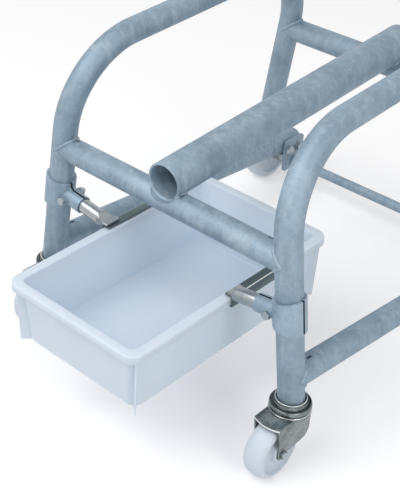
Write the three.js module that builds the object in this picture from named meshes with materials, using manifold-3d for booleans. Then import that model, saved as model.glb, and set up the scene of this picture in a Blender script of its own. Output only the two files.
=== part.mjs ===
// Drum dolly: a splayed tube frame on two swivel castors and two axle wheels,
// with a drip tray hung on rails.
// Millimetres, +Z up, floor at zero, +X to the right and +Y to the back, along the drum.
import * as THREE from 'three';
import { mergeVertices } from 'three/addons/utils/BufferGeometryUtils.js';
import Module from 'manifold-3d';

const wasm = await Module();
wasm.setup();

// Clearances and overruns
const seatGap = 0.3;
const runningGap = 0.1;
const cutOverrun = 6;
const weldTolerance = 1e-4;

// Facets round a full turn
const roundTube = 20;
const roundSocket = 28;
const roundWheel = 24;
const roundCastor = 20;
const roundFork = 16;
const roundSmall = 12;
const bendSteps = 6;
const cornerSteps = 4;
const hexSides = 6;
const funnelSteps = 3;

// Frame tubes
const tubeOuter = 42.4;
const tubeWall = 3.2;
const splayDegrees = 7.7;
const floorHalfSpacing = 284.4;
const frontLegY = -259;
const legSpan = 590;
const footZ = 128;
const bendRadius = 140;
const shoulderZ = 530;
const shoulderSlopeDegrees = 2.24;

// Bottom side tubes
const bottomFrontZ = 164;
const bottomRearZ = 99.72;
const bottomTail = 110;

// Cross tubes and lever socket
const frontCrossZ = 363;
const socketOuter = 63.5;
const socketWall = 4;
const socketSlopeDegrees = 3.24;
const socketSink = 16;
const socketNose = 12;
const socketTail = 24;

// Rear axle and its side plates
const axleDiameter = 20;
const axleSetback = 82.5;
const axleEnd = 12;
const plateThickness = 5;
const plateLength = 64;
const plateRise = 18;
const plateFoot = 16.5;
const plateCorner = 9;
const screwPitch = 32;
const plateOffset = -2.5;
const screwOffset = -6.5;
const screwDrop = 5;
const screwDiameter = 10;
const screwPlay = 1;
const screwReach = 16;
const screwHeadAcross = 17;
const screwHeadHeight = 6.4;
const screwWasherDiameter = 20;
const screwWasherThickness = 2;

// Rear wheels and what holds them
const rearWheelDiameter = 125;
const rearWheelWidth = 38;
const rearWheelGap = 3.33;
const rearHubDiameter = 42;
const rearHubLength = 42;
const rearWebThickness = 24;
const rearRimDepth = 15;
const treadCrown = 1.5;
const treadShoulder = 7;
const spacerDiameter = 26.9;
const axleWasherDiameter = 37;
const axleWasherThickness = 3;
const pinDiameter = 4;
const pinHeadDiameter = 9;
const pinHeadHeight = 3;
const pinStandout = 7;

// Swivel castors
const plugLength = 34;
const kingpinDiameter = 12;
const kingpinReach = 24;
const kingpinHeadAcross = 17;
const kingpinHeadHeight = 5.5;
const cupDiameter = 67;
const cupDepth = 15.2;
const cupLipRise = 2.5;
const cupLipWidth = 2.5;
const cupLipGap = 1.4;
const cupShoulderDrop = 3.7;
const cupRimDrop = 8.7;
const cupSheet = 2.5;
const cupCeilingDrop = 7.7;
const raceDiameter = 46;
const raceSection = 11;
const crownDiameter = 68;
const crownRimRise = 3.5;
const crownRimWidth = 2.2;
const crownSheet = 3;
const crownBow = 6;
const forkSheet = 2.5;
const cheekGap = 1;
const cheekFront = 16;
const funnelDepth = 38;
const castorTrail = 40;
const castorWheelDiameter = 100;
const castorWheelWidth = 38;
const castorHubDiameter = 32;
const castorHubLength = 42;
const castorWebThickness = 26;
const castorRimDepth = 12;
const castorAxleDiameter = 8;
const castorAxleHeadAcross = 13;
const castorAxleHeadHeight = 5;
const castorAxleTail = 3;
const forkRear = 31;
const forkRearOpening = 16;
const forkRearTop = 14;

// Lower cheek outline round the castor axle, in wheel radii
const cheekShares = [[-0.24, 0.4], [-0.22, -0.04], [-0.14, -0.13], [0, -0.17], [0.13, -0.11], [0.2, 0.01],
  [0.38, 0.04], [0.78, 0.05], [1.05, 0.1], [1.2, 0.25], [1.3, 0.48], [1.36, 0.75]];

// Front edge of the crown plate, in half widths across and in bows forward
const crownBowShares = [[-0.6, 0.64], [0, 1], [0.6, 0.64]];

// Rails
const railSheet = 2;
const railFlange = 16;
const railHeight = 20;
const railTopZ = 252;
const railLead = 3;
const railLength = 153;

// Tray
const trayLength = 467;
const trayLead = 217;
const traySidePlay = 1;
const trayRimThickness = 3;
const trayRimWidth = 14;
const trayLipThickness = 2.6;
const trayLipDepth = 14;
const trayCorner = 22;
const trayWallCorner = 14;
const trayWall = 3;
const trayDepth = 119.8;
const traySideDraft = 3.5;
const trayEndDraft = 10;
const trayFloorCorner = 18;
const finThickness = 3;
const finTopReach = 40;
const finFootReach = 36;

// Clamps and arms
const clampHeightZ = 286;
const clampWall = 4.5;
const clampSlit = 2.4;
const clampOuterRise = 22.5;
const clampInnerRise = 13.5;
const clampOuterFall = 37.5;
const clampInnerFall = 26;
const armDrop = 11;
const armDiameter = 25;
const armWall = 2;
const armEndWall = 3.5;
const armReach = 103.73;
const sleeveWall = 2.4;
const sleeveEnd = 58;
const webHalfThickness = 6;
const clampBoltDiameter = 8;
const clampBoltAcross = 13;
const clampBoltHead = 5.5;
const clampNutHeight = 6.5;
const clampBoltTail = 4;
const bossDiameter = 16;
const bossReach = 20;
const boltWall = 1;
const armTravelPlay = 4.5;
const tongueThickness = 5;
const tongueHalfWidth = 15;
const tongueShift = 12;
const tongueBend = 2;
const tongueRun = 5.73;

// Worked-out values
const radians = THREE.MathUtils.degToRad;
const splay = radians(splayDegrees);
const tubeRadius = tubeOuter / 2;
const tubeBoreRadius = tubeRadius - tubeWall;
const socketRadius = socketOuter / 2;
const rearLegY = frontLegY + legSpan;
const bottomRearY = rearLegY + bottomTail;
const rearAxleY = rearLegY + axleSetback;
const rearAxleZ = rearWheelDiameter / 2;
const rearWheelCentreX = legX(bottomZ(bottomRearY)) + tubeRadius / Math.cos(splay)
  + rearWheelGap + rearWheelWidth / 2;
const washerOuterX = rearWheelCentreX + rearHubLength / 2 + seatGap + axleWasherThickness;
const axleHalfLength = washerOuterX + axleEnd;
const cupTopZ = footZ - seatGap;
const cupCeilingZ = cupTopZ - cupCeilingDrop;
const crownTopZ = cupCeilingZ - seatGap - raceSection - seatGap;
const cheekInner = castorHubLength / 2 + cheekGap;
const cheekOuter = cheekInner + forkSheet;
const crownFrontReach = castorTrail + cheekFront;
const clampRadius = tubeRadius + seatGap + clampWall;
const armRadius = armDiameter / 2;
const sleeveRadius = armRadius + seatGap + sleeveWall;
const clampBoltX = tubeRadius + seatGap + boltWall + clampBoltDiameter / 2;
const armStart = clampBoltX + clampBoltDiameter / 2 + armTravelPlay;
const armRoundReach = armReach - tongueRun;
const railWebX = legX(clampHeightZ) - armReach;
const railBottomZ = railTopZ - railHeight;
const railFrontY = frontLegY - railLead;
const trayHalfWidth = railWebX - railSheet - traySidePlay;
const trayRimZ = railBottomZ + railSheet + seatGap + trayLipDepth;
const trayFloorZ = trayRimZ - trayDepth;
const trayFrontY = frontLegY - trayLead;
const trayMiddleY = trayFrontY + trayLength / 2;
const xAxis = new THREE.Vector3(1, 0, 0);
const yAxis = new THREE.Vector3(0, 1, 0);
const zAxis = new THREE.Vector3(0, 0, 1);

function point(x, y, z) {
  return new THREE.Vector3(x, y, z);
}

// Half spacing of the leaning side frames at a height
function legX(z) {
  return floorHalfSpacing - z * Math.tan(splay);
}

// Point in the right side frame's leaning plane
function framePoint(y, z) {
  return point(legX(z), y, z);
}

// Height of the bottom side tube's axis
function bottomZ(y) {
  return bottomFrontZ - ((bottomFrontZ - bottomRearZ) * (y - frontLegY)) / (rearAxleY - frontLegY);
}

// Height of the lever socket's axis
function socketZ(y) {
  return frontCrossZ + tubeRadius + socketRadius - socketSink
    + (y - frontLegY) * Math.tan(radians(socketSlopeDegrees));
}

function rearCrossZ() {
  return socketZ(rearLegY) - tubeRadius - socketRadius + socketSink;
}

// Closed mesh with its faces turned outwards
function outward(geometry) {
  const bare = geometry.clone();
  bare.deleteAttribute('normal');
  bare.deleteAttribute('uv');
  const merged = mergeVertices(bare, weldTolerance);
  const places = merged.attributes.position;
  const order = merged.index.array;
  const [a, b, c] = [point(0, 0, 0), point(0, 0, 0), point(0, 0, 0)];
  let volume = 0;
  for (let i = 0; i < order.length; i += 3) {
    a.fromBufferAttribute(places, order[i]);
    b.fromBufferAttribute(places, order[i + 1]);
    c.fromBufferAttribute(places, order[i + 2]);
    volume += a.dot(b.cross(c));
  }
  if (volume < 0) {
    for (let i = 0; i < order.length; i += 3) {
      [order[i + 1], order[i + 2]] = [order[i + 2], order[i + 1]];
    }
  }
  return merged;
}

function solid(geometry) {
  const merged = outward(geometry);
  return new wasm.Manifold(new wasm.Mesh({
    numProp: 3,
    vertProperties: new Float32Array(merged.attributes.position.array),
    triVerts: new Uint32Array(merged.index.array),
  }));
}

function surface(body) {
  const mesh = body.getMesh();
  const geometry = new THREE.BufferGeometry();
  geometry.setAttribute('position', new THREE.BufferAttribute(new Float32Array(mesh.vertProperties), 3));
  geometry.setIndex(new THREE.BufferAttribute(new Uint32Array(mesh.triVerts), 1));
  return geometry;
}

function cut(body, ...tools) {
  return surface(tools.reduce((rest, tool) => rest.subtract(solid(tool)), solid(body)));
}

function joined(...bodies) {
  return surface(bodies.map(solid).reduce((whole, body) => whole.add(body)));
}

function common(body, other) {
  return surface(solid(body).intersect(solid(other)));
}

// Left-hand twin of a right-hand piece
function mirrored(geometry) {
  const twin = geometry.clone();
  twin.scale(-1, 1, 1);
  return outward(twin);
}

function circle(radius, sides) {
  const points = [];
  for (let i = 0; i < sides; i += 1) {
    const angle = (i / sides) * Math.PI * 2;
    points.push(new THREE.Vector2(radius * Math.cos(angle), radius * Math.sin(angle)));
  }
  return points;
}

// Turned piece standing on a point along a direction
function turned(profile, at, direction, sides) {
  const geometry = new THREE.LatheGeometry(profile.map(([r, h]) => new THREE.Vector2(r, h)), sides);
  geometry.applyQuaternion(new THREE.Quaternion().setFromUnitVectors(yAxis, direction.clone().normalize()));
  geometry.translate(at.x, at.y, at.z);
  return geometry;
}

// Solid round bar between two points
function bar(from, to, radius, sides) {
  const along = to.clone().sub(from);
  const length = along.length();
  return turned([[0, 0], [radius, 0], [radius, length], [0, length]], from, along, sides);
}

// Round pipe between two points
function pipe(from, to, radius, bore, sides) {
  const along = to.clone().sub(from);
  const length = along.length();
  return turned([[bore, 0], [radius, 0], [radius, length], [bore, length], [bore, 0]], from, along, sides);
}

// Hexagon prism from a point along a direction
function hexagon(across, height, at, direction) {
  const radius = across / Math.sqrt(3);
  return turned([[0, 0], [radius, 0], [radius, height], [0, height]], at, direction, hexSides);
}

// Hexagon bolt or screw with its washer, the washer's face on a point
function hexBolt(size, at, direction) {
  const { across, head, washerDiameter, washerThickness, diameter, reach } = size;
  const outwards = direction.clone().normalize();
  const top = at.clone().addScaledVector(outwards, washerThickness);
  return joined(
    hexagon(across, head + washerThickness / 2,
      at.clone().addScaledVector(outwards, washerThickness / 2), outwards),
    bar(at, top, washerDiameter / 2, roundTube),
    bar(at.clone().addScaledVector(outwards, -reach), top, diameter / 2, roundSmall),
  );
}

// Box from its low corner to its high corner
function block(low, high) {
  const size = high.clone().sub(low);
  const geometry = new THREE.BoxGeometry(size.x, size.y, size.z);
  geometry.translate(low.x + size.x / 2, low.y + size.y / 2, low.z + size.z / 2);
  return geometry;
}

// Flat piece with its outline in Y and Z, from one X to another
function sidePlate(outline, fromX, toX) {
  const shape = new THREE.Shape(outline.map(([y, z]) => new THREE.Vector2(y, z)));
  const geometry = new THREE.ExtrudeGeometry(shape, { depth: toX - fromX, bevelEnabled: false });
  geometry.applyMatrix4(new THREE.Matrix4().makeBasis(yAxis, zAxis, xAxis));
  geometry.translate(fromX, 0, 0);
  return geometry;
}

// Flat piece with its outline in X and Z, from one Y to another
function frontPlate(outline, fromY, toY) {
  const shape = new THREE.Shape(outline.map(([x, z]) => new THREE.Vector2(x, z)));
  const geometry = new THREE.ExtrudeGeometry(shape, { depth: toY - fromY, bevelEnabled: false });
  geometry.applyMatrix4(new THREE.Matrix4().makeBasis(xAxis, zAxis, yAxis.clone().negate()));
  geometry.translate(0, toY, 0);
  return geometry;
}

function roundedRectangle(halfWidth, halfLength, corner) {
  const points = [];
  [[1, 1], [-1, 1], [-1, -1], [1, -1]].forEach(([sideX, sideY], quarter) => {
    for (let i = 0; i <= cornerSteps; i += 1) {
      const angle = ((quarter + i / cornerSteps) * Math.PI) / 2;
      points.push(new THREE.Vector2(
        sideX * (halfWidth - corner) + corner * Math.cos(angle),
        sideY * (halfLength - corner) + corner * Math.sin(angle),
      ));
    }
  });
  return points;
}

// Skin over rings of equal count, closed at both ends
function lofted(rings) {
  const count = rings[0].length;
  const places = rings.flatMap((ring) => ring.flatMap((p) => [p.x, p.y, p.z]));
  const order = [];
  for (let k = 0; k + 1 < rings.length; k += 1) {
    for (let i = 0; i < count; i += 1) {
      const a = k * count + i;
      const b = k * count + ((i + 1) % count);
      order.push(a, b, a + count, b, b + count, a + count);
    }
  }
  [0, rings.length - 1].forEach((k) => {
    const middle = places.length / 3;
    const centre = rings[k].reduce((sum, p) => sum.add(p), point(0, 0, 0)).divideScalar(count);
    places.push(centre.x, centre.y, centre.z);
    for (let i = 0; i < count; i += 1) {
      const [a, b] = [k * count + i, k * count + ((i + 1) % count)];
      order.push(...(k > 0 ? [a, b, middle] : [b, a, middle]));
    }
  });
  const geometry = new THREE.BufferGeometry();
  geometry.setAttribute('position', new THREE.Float32BufferAttribute(places, 3));
  geometry.setIndex(order);
  return geometry;
}

// Curve through stations of point and direction, one per sweep step
class Stations extends THREE.Curve {
  constructor(stations) {
    super();
    this.stations = stations;
  }

  at(u) {
    return this.stations[Math.round(u * (this.stations.length - 1))];
  }

  getPointAt(u) {
    return this.at(u).place.clone();
  }

  getTangentAt(u) {
    return this.at(u).direction.clone();
  }
}

// One bend of the hoop from a heading to another, in the frame's leaning plane
function bend(cornerY, cornerZ, from, to) {
  const reach = bendRadius * Math.tan((from - to) / 2);
  const centreY = cornerY - Math.cos(from) * reach + Math.sin(from) * bendRadius;
  const centreRise = -Math.sin(from) * reach - Math.cos(from) * bendRadius;
  const stations = [];
  for (let i = 0; i <= bendSteps; i += 1) {
    const heading = from + ((to - from) * i) / bendSteps;
    const y = centreY - Math.sin(heading) * bendRadius;
    const z = cornerZ + (centreRise + Math.cos(heading) * bendRadius) * Math.cos(splay);
    stations.push(station(y, z, heading));
  }
  return stations;
}

function station(y, z, heading) {
  const rise = Math.sin(heading);
  const direction = point(-rise * Math.sin(splay), Math.cos(heading), rise * Math.cos(splay));
  return { place: framePoint(y, z), direction };
}

// Path of a side hoop: up the front leg, back over the shoulders, down the rear leg
function hoopStations() {
  const slope = radians(shoulderSlopeDegrees);
  const quarter = Math.PI / 2;
  const rearShoulderZ = shoulderZ + legSpan * Math.tan(slope);
  return [
    station(frontLegY, footZ - cutOverrun, quarter),
    ...bend(frontLegY, shoulderZ, quarter, slope),
    ...bend(rearLegY, rearShoulderZ, slope, -quarter),
    station(rearLegY, bottomZ(rearLegY), -quarter),
  ];
}

// Swept hoop, hollow, or solid for coping other tubes
function hoopSweep(radius, bore) {
  const shape = new THREE.Shape(circle(radius, roundTube));
  if (bore) shape.holes.push(new THREE.Path(circle(bore, roundTube)));
  const stations = hoopStations();
  return new THREE.ExtrudeGeometry(shape, {
    steps: stations.length - 1,
    extrudePath: new Stations(stations),
    bevelEnabled: false,
  });
}

// Point on the bottom side tube's axis
function bottomPoint(y) {
  return framePoint(y, bottomZ(y));
}

// Space under the front leg's foot
function belowFoot() {
  return block(
    point(0, frontLegY - tubeOuter, 0),
    point(floorHalfSpacing + tubeOuter, frontLegY + tubeOuter, footZ),
  );
}

function sideHoop() {
  const rearSeat = bar(bottomPoint(0), bottomPoint(bottomRearY), tubeRadius + seatGap, roundTube);
  return cut(hoopSweep(tubeRadius, tubeBoreRadius), belowFoot(), rearSeat);
}

function bottomTube() {
  const whole = pipe(bottomPoint(frontLegY), bottomPoint(bottomRearY), tubeRadius, tubeBoreRadius, roundTube);
  const legSeat = bar(framePoint(frontLegY, 0), framePoint(frontLegY, frontCrossZ), tubeRadius + seatGap, roundTube);
  const holes = screwPlaces().map(([y, z]) => bar(
    point(plateOuterX() - cutOverrun, y, z),
    point(legX(z), y, z),
    (screwDiameter + screwPlay) / 2,
    roundSmall,
  ));
  return cut(whole, legSeat, ...holes);
}

function crossTube(y, z, hoop, socket) {
  const reach = legX(z);
  const whole = pipe(point(-reach, y, z), point(reach, y, z), tubeRadius, tubeBoreRadius, roundTube);
  return cut(whole, hoop, mirrored(hoop), socket);
}

// Point on the lever socket's axis
function socketPoint(y) {
  return point(0, y, socketZ(y));
}

function leverSocket() {
  return pipe(socketPoint(frontLegY - socketNose), socketPoint(rearLegY + socketTail),
    socketRadius, socketRadius - socketWall, roundSocket);
}

// Solid that saddles the cross tubes for the lever socket
function socketSaddle() {
  return bar(socketPoint(frontLegY - socketNose - seatGap), socketPoint(rearLegY + socketTail + seatGap),
    socketRadius + seatGap, roundSocket);
}

// Outer face of the axle plate, against the inner side of the bottom tube
function plateOuterX() {
  return legX(bottomZ(rearAxleY + plateOffset - plateLength / 2)) - tubeRadius / Math.cos(splay) - seatGap;
}

function screwPlaces() {
  return [-1, 1].map((side) => {
    const y = rearAxleY + screwOffset + (side * screwPitch) / 2;
    return [y, bottomZ(y) - screwDrop];
  });
}

// Point on the rear axle's line
function axlePoint(x) {
  return point(x, rearAxleY, rearAxleZ);
}

function axlePlate() {
  const topZ = bottomZ(rearAxleY) + plateRise;
  const lowZ = rearAxleZ - plateFoot;
  const outline = roundedRectangle(plateLength / 2, (topZ - lowZ) / 2, plateCorner)
    .map((p) => [p.x + rearAxleY + plateOffset, p.y + (topZ + lowZ) / 2]);
  const outerX = plateOuterX();
  const through = (y, z, radius, sides) => bar(
    point(outerX - plateThickness - cutOverrun, y, z),
    point(outerX + cutOverrun, y, z),
    radius,
    sides,
  );
  return cut(sidePlate(outline, outerX - plateThickness, outerX),
    through(rearAxleY, rearAxleZ, axleDiameter / 2 + seatGap, roundTube),
    ...screwPlaces().map(([y, z]) => through(y, z, (screwDiameter + screwPlay) / 2, roundSmall)));
}

function plateScrew([y, z]) {
  return hexBolt({
    across: screwHeadAcross,
    head: screwHeadHeight,
    washerDiameter: screwWasherDiameter,
    washerThickness: screwWasherThickness,
    diameter: screwDiameter,
    reach: screwReach,
  }, point(plateOuterX() - plateThickness - seatGap, y, z), xAxis.clone().negate());
}

function rearAxle() {
  const rod = bar(axlePoint(-axleHalfLength), axlePoint(axleHalfLength), axleDiameter / 2, roundTube);
  const holes = [-1, 1].map((side) => {
    const at = axlePoint(side * (axleHalfLength - axleEnd / 2));
    return bar(at.clone().addScaledVector(zAxis, -axleDiameter), at.clone().addScaledVector(zAxis, axleDiameter),
      pinDiameter / 2 + seatGap, roundSmall);
  });
  return cut(rod, ...holes);
}

function axleRing(fromX, toX, diameter) {
  return pipe(axlePoint(fromX), axlePoint(toX), diameter / 2, axleDiameter / 2 + seatGap, roundTube);
}

function rearSpacer() {
  return axleRing(plateOuterX() + seatGap, rearWheelCentreX - rearHubLength / 2 - seatGap, spacerDiameter);
}

function axleWasher() {
  return axleRing(washerOuterX - axleWasherThickness, washerOuterX, axleWasherDiameter);
}

// Headed pin through the end of the axle
function axlePin() {
  const half = axleDiameter / 2 + pinStandout;
  const radius = pinDiameter / 2;
  const headRadius = pinHeadDiameter / 2;
  return turned([
    [0, -half], [radius, -half], [radius, half], [headRadius, half],
    [headRadius, half + pinHeadHeight], [0, half + pinHeadHeight],
  ], axlePoint(axleHalfLength - axleEnd / 2), zAxis, roundSmall);
}

// Moulded wheel with a crowned tread, recessed web and hub, turned about X
function wheel(size, centre) {
  const { diameter, width, hub, hubLength, web, rimDepth, bore, sides } = size;
  const radius = diameter / 2;
  const halfWidth = width / 2;
  const right = [
    [bore, hubLength / 2], [hub / 2, hubLength / 2], [hub / 2, web / 2],
    [radius - rimDepth, web / 2], [radius - rimDepth, halfWidth], [radius - treadShoulder, halfWidth],
    [radius - treadCrown, halfWidth - treadShoulder + treadCrown], [radius, halfWidth - rimDepth],
  ];
  const left = right.map(([r, h]) => [r, -h]).reverse();
  return turned([...right, ...left, right[0]], centre, xAxis, sides);
}

function rearWheel() {
  return wheel({
    diameter: rearWheelDiameter,
    width: rearWheelWidth,
    hub: rearHubDiameter,
    hubLength: rearHubLength,
    web: rearWebThickness,
    rimDepth: rearRimDepth,
    bore: axleDiameter / 2 + runningGap,
    sides: roundWheel,
  }, axlePoint(rearWheelCentreX));
}

// Point on the castor's upright axis, or beside it
function castorPoint(z, x = 0, y = 0) {
  return point(legX(footZ) + x, frontLegY + y, z);
}

// Point on the castor wheel's axle
function castorAxlePoint(x) {
  return castorPoint(castorWheelDiameter / 2, x, -castorTrail);
}

// Plug welded into the leg's foot, bored upright for the king pin
function legPlug() {
  const plug = bar(framePoint(frontLegY, footZ - cutOverrun), framePoint(frontLegY, footZ + plugLength),
    tubeBoreRadius - seatGap, roundTube);
  const bore = bar(castorPoint(footZ - cutOverrun), castorPoint(cupTopZ + kingpinReach + seatGap),
    kingpinDiameter / 2 + seatGap, roundSmall);
  return cut(plug, belowFoot(), bore);
}

// Turned cup under the leg's foot, lipped round the tube
function castorCup() {
  const hole = kingpinDiameter / 2 + seatGap;
  const rim = cupDiameter / 2;
  const lipInner = tubeRadius / Math.cos(splay) + cupLipGap;
  const lipOuter = lipInner + cupLipWidth;
  const rimZ = cupTopZ - cupRimDrop;
  const skirtZ = cupTopZ - cupDepth;
  return turned([
    [hole, cupCeilingZ], [rim - cupDepth / 2, cupCeilingZ],
    [rim - cupSheet, rimZ - cupSheet], [rim - cupSheet, skirtZ], [rim, skirtZ],
    [rim, rimZ], [rim - cupSheet, rimZ + cupSheet], [lipOuter + cupSheet, cupTopZ - cupShoulderDrop],
    [lipOuter, cupTopZ + cupLipRise], [lipInner, cupTopZ + cupLipRise], [lipInner, cupTopZ],
    [hole, cupTopZ], [hole, cupCeilingZ],
  ], castorPoint(0), zAxis, roundCastor);
}

// Ring of the ball race between cup and crown
function ballRace() {
  const middle = (cupCeilingZ + crownTopZ) / 2;
  const profile = circle(raceSection / 2, hexSides).map((p) => [raceDiameter / 2 + p.x, middle + p.y]);
  return turned([...profile, profile[0]], castorPoint(0), zAxis, roundTube);
}

function kingpin() {
  const low = crownTopZ - crownSheet - seatGap;
  const head = hexagon(kingpinHeadAcross, kingpinHeadHeight, castorPoint(low - kingpinHeadHeight), zAxis);
  const shank = bar(castorPoint(low - kingpinHeadHeight / 2), castorPoint(cupTopZ + kingpinReach),
    kingpinDiameter / 2, roundSmall);
  return joined(head, shank);
}

// Ring of the fork's skin, round under the crown and drawn in flat beside the wheel
function forkRing(z, inset, drawn) {
  const radius = crownDiameter / 2 - inset;
  const side = cheekOuter - inset;
  const front = crownFrontReach + (inset > 0 ? cutOverrun + crownBow : 0);
  const start = -Math.acos(side / radius);
  const turn = Math.PI - 2 * start;
  const ring = [castorPoint(z, side, -front)];
  for (let i = 0; i <= roundFork; i += 1) {
    const angle = start + (turn * i) / roundFork;
    const [x, y] = [radius * Math.cos(angle), radius * Math.sin(angle)];
    const flatX = Math.min(Math.abs(x), side) * Math.sign(x);
    const flatY = Math.min(y, forkRear - inset);
    ring.push(castorPoint(z, x + (flatX - x) * drawn, y + (flatY - y) * drawn));
  }
  ring.push(castorPoint(z, -side, -front));
  crownBowShares.forEach(([across, forward]) => {
    ring.push(castorPoint(z, across * side, -front - forward * crownBow));
  });
  return ring;
}

// Funnel drawn from the crown's rim down to the flat cheeks
function forkBody(inset) {
  const topZ = crownTopZ - (inset > 0 ? crownSheet : 0);
  const rings = [forkRing(topZ, inset, 0)];
  if (inset === 0) rings.push(forkRing(crownTopZ - crownSheet, inset, 0));
  for (let i = 1; i <= funnelSteps; i += 1) {
    const depth = i / funnelSteps;
    rings.push(forkRing(crownTopZ - crownSheet - funnelDepth * depth, inset, 1 - (1 - depth) ** 2));
  }
  rings.push(forkRing(inset > 0 ? -cutOverrun : 0, inset, 1));
  return lofted(rings);
}

// Side outline of the fork, round the axle and up to the crown
function forkOutline() {
  const radius = castorWheelDiameter / 2;
  const at = castorAxlePoint(0);
  const lower = cheekShares.map(([y, z]) => [at.y + y * radius, at.z + z * radius]);
  const front = frontLegY - crownFrontReach;
  const rear = frontLegY + crownDiameter / 2;
  const [topZ, plateZ] = [crownTopZ + crownRimRise, crownTopZ - crownSheet];
  const bow = front - crownBow;
  return [
    [bow, topZ], [bow, plateZ], [front, plateZ], [front, plateZ - crownRimRise],
    ...lower, [rear, plateZ], [rear, topZ],
  ];
}

// Pressed fork: crown plate with a raised rim, drawn in as a funnel to two cheeks
function castorFork() {
  const rim = crownDiameter / 2;
  const outline = sidePlate(forkOutline(), legX(footZ) - crownDiameter, legX(footZ) + crownDiameter);
  const rearOpening = block(
    castorPoint(0, -forkRearOpening, 0),
    castorPoint(crownTopZ - crownSheet - forkRearTop, forkRearOpening, crownDiameter),
  );
  const rimRing = turned([
    [rim - crownRimWidth, crownTopZ - crownSheet / 2], [rim, crownTopZ - crownSheet / 2],
    [rim, crownTopZ + crownRimRise], [rim - crownRimWidth, crownTopZ + crownRimRise],
    [rim - crownRimWidth, crownTopZ - crownSheet / 2],
  ], castorPoint(0), zAxis, roundCastor);
  const shell = common(cut(forkBody(0), forkBody(forkSheet), rearOpening), outline);
  const axleHole = bar(castorAxlePoint(-crownDiameter), castorAxlePoint(crownDiameter),
    castorAxleDiameter / 2 + seatGap, roundSmall);
  const pinHole = bar(castorPoint(crownTopZ - crownSheet - cutOverrun), castorPoint(crownTopZ + cutOverrun),
    kingpinDiameter / 2 + runningGap, roundCastor);
  return cut(joined(shell, rimRing), axleHole, pinHole);
}

function castorWheel() {
  return wheel({
    diameter: castorWheelDiameter,
    width: castorWheelWidth,
    hub: castorHubDiameter,
    hubLength: castorHubLength,
    web: castorWebThickness,
    rimDepth: castorRimDepth,
    bore: castorAxleDiameter / 2 + runningGap,
    sides: roundCastor,
  }, castorAxlePoint(0));
}

function castorAxleBolt() {
  const face = cheekOuter + seatGap;
  const head = hexagon(castorAxleHeadAcross, castorAxleHeadHeight, castorAxlePoint(face), xAxis);
  const shank = bar(castorAxlePoint(-face - castorAxleHeadHeight - castorAxleTail),
    castorAxlePoint(face + castorAxleHeadHeight / 2), castorAxleDiameter / 2, roundSmall);
  return joined(head, shank);
}

function castorAxleNut() {
  const face = cheekOuter + seatGap;
  const nut = hexagon(castorAxleHeadAcross, castorAxleHeadHeight, castorAxlePoint(-face), xAxis.clone().negate());
  const bore = bar(castorAxlePoint(-castorHubLength), castorAxlePoint(0),
    castorAxleDiameter / 2 + seatGap, roundSmall);
  return cut(nut, bore);
}

// Moves a piece from the clamp's own frame onto the leaning right leg
function ontoLeg(geometry) {
  const placed = geometry.clone();
  placed.applyMatrix4(new THREE.Matrix4().makeRotationY(-splay));
  const at = framePoint(frontLegY, clampHeightZ);
  placed.translate(at.x, at.y, at.z);
  return placed;
}

// Point on the arm's axis, a distance inwards from the leg's axis
function armPoint(x) {
  return point(-x, 0, -armDrop);
}

// Point on the clamp bolt's axis
function clampBoltPoint(y) {
  return point(-clampBoltX, y, -armDrop);
}

function clampBoltLine(reach, radius, sides) {
  return bar(clampBoltPoint(-reach), clampBoltPoint(reach), radius, sides);
}

// One half of a pipe clamp: half ring, half sleeve, the web between them and a bolt boss
function clampHalf(side) {
  const outline = [
    [-clampRadius - cutOverrun, -clampInnerFall], [clampRadius + cutOverrun, -clampOuterFall],
    [clampRadius + cutOverrun, clampOuterRise], [-clampRadius - cutOverrun, clampInnerRise],
  ];
  const ringBlank = bar(point(0, 0, -sleeveEnd), point(0, 0, sleeveEnd), clampRadius, roundSocket);
  const ring = common(ringBlank, frontPlate(outline, -clampRadius - cutOverrun, clampRadius + cutOverrun));
  const sleeve = bar(armPoint(0), armPoint(sleeveEnd), sleeveRadius, roundTube);
  const webOutline = [[0, -armDrop], [0, clampInnerRise - clampWall],
    [-clampRadius, clampInnerRise - clampWall], [-sleeveEnd + sleeveRadius, -armDrop]];
  const web = frontPlate(webOutline, -webHalfThickness, webHalfThickness);
  const boss = clampBoltLine(bossReach, bossDiameter / 2, roundTube);
  const legBore = bar(point(0, 0, -sleeveEnd - cutOverrun), point(0, 0, sleeveEnd + cutOverrun),
    tubeRadius + seatGap, roundTube);
  const armBore = bar(armPoint(armStart - armTravelPlay), armPoint(sleeveEnd + cutOverrun),
    armRadius + seatGap, roundTube);
  const boltHole = clampBoltLine(bossReach + cutOverrun, clampBoltDiameter / 2 + seatGap, roundSmall);
  const reach = sleeveEnd + sleeveRadius;
  const edges = side > 0 ? [-reach, clampSlit / 2] : [-clampSlit / 2, reach];
  const otherHalf = block(point(-reach, edges[0], -reach), point(reach, edges[1], reach));
  return ontoLeg(cut(joined(ring, sleeve, web, boss), legBore, armBore, boltHole, otherHalf));
}

function clampBolt() {
  const face = bossReach + seatGap;
  const head = hexagon(clampBoltAcross, clampBoltHead, clampBoltPoint(-face), yAxis.clone().negate());
  const shank = bar(clampBoltPoint(-face - clampBoltHead / 2),
    clampBoltPoint(face + clampNutHeight + clampBoltTail), clampBoltDiameter / 2, roundSmall);
  return ontoLeg(joined(head, shank));
}

function clampNut() {
  const nut = hexagon(clampBoltAcross, clampNutHeight, clampBoltPoint(bossReach + seatGap), yAxis);
  return ontoLeg(cut(nut, clampBoltLine(sleeveEnd, clampBoltDiameter / 2 + seatGap, roundSmall)));
}

// Section of the arm tube, a rounded rectangle in Y and Z
function armSection(halfWidth, halfHeight) {
  return roundedRectangle(halfWidth, halfHeight, halfHeight - seatGap);
}

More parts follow.
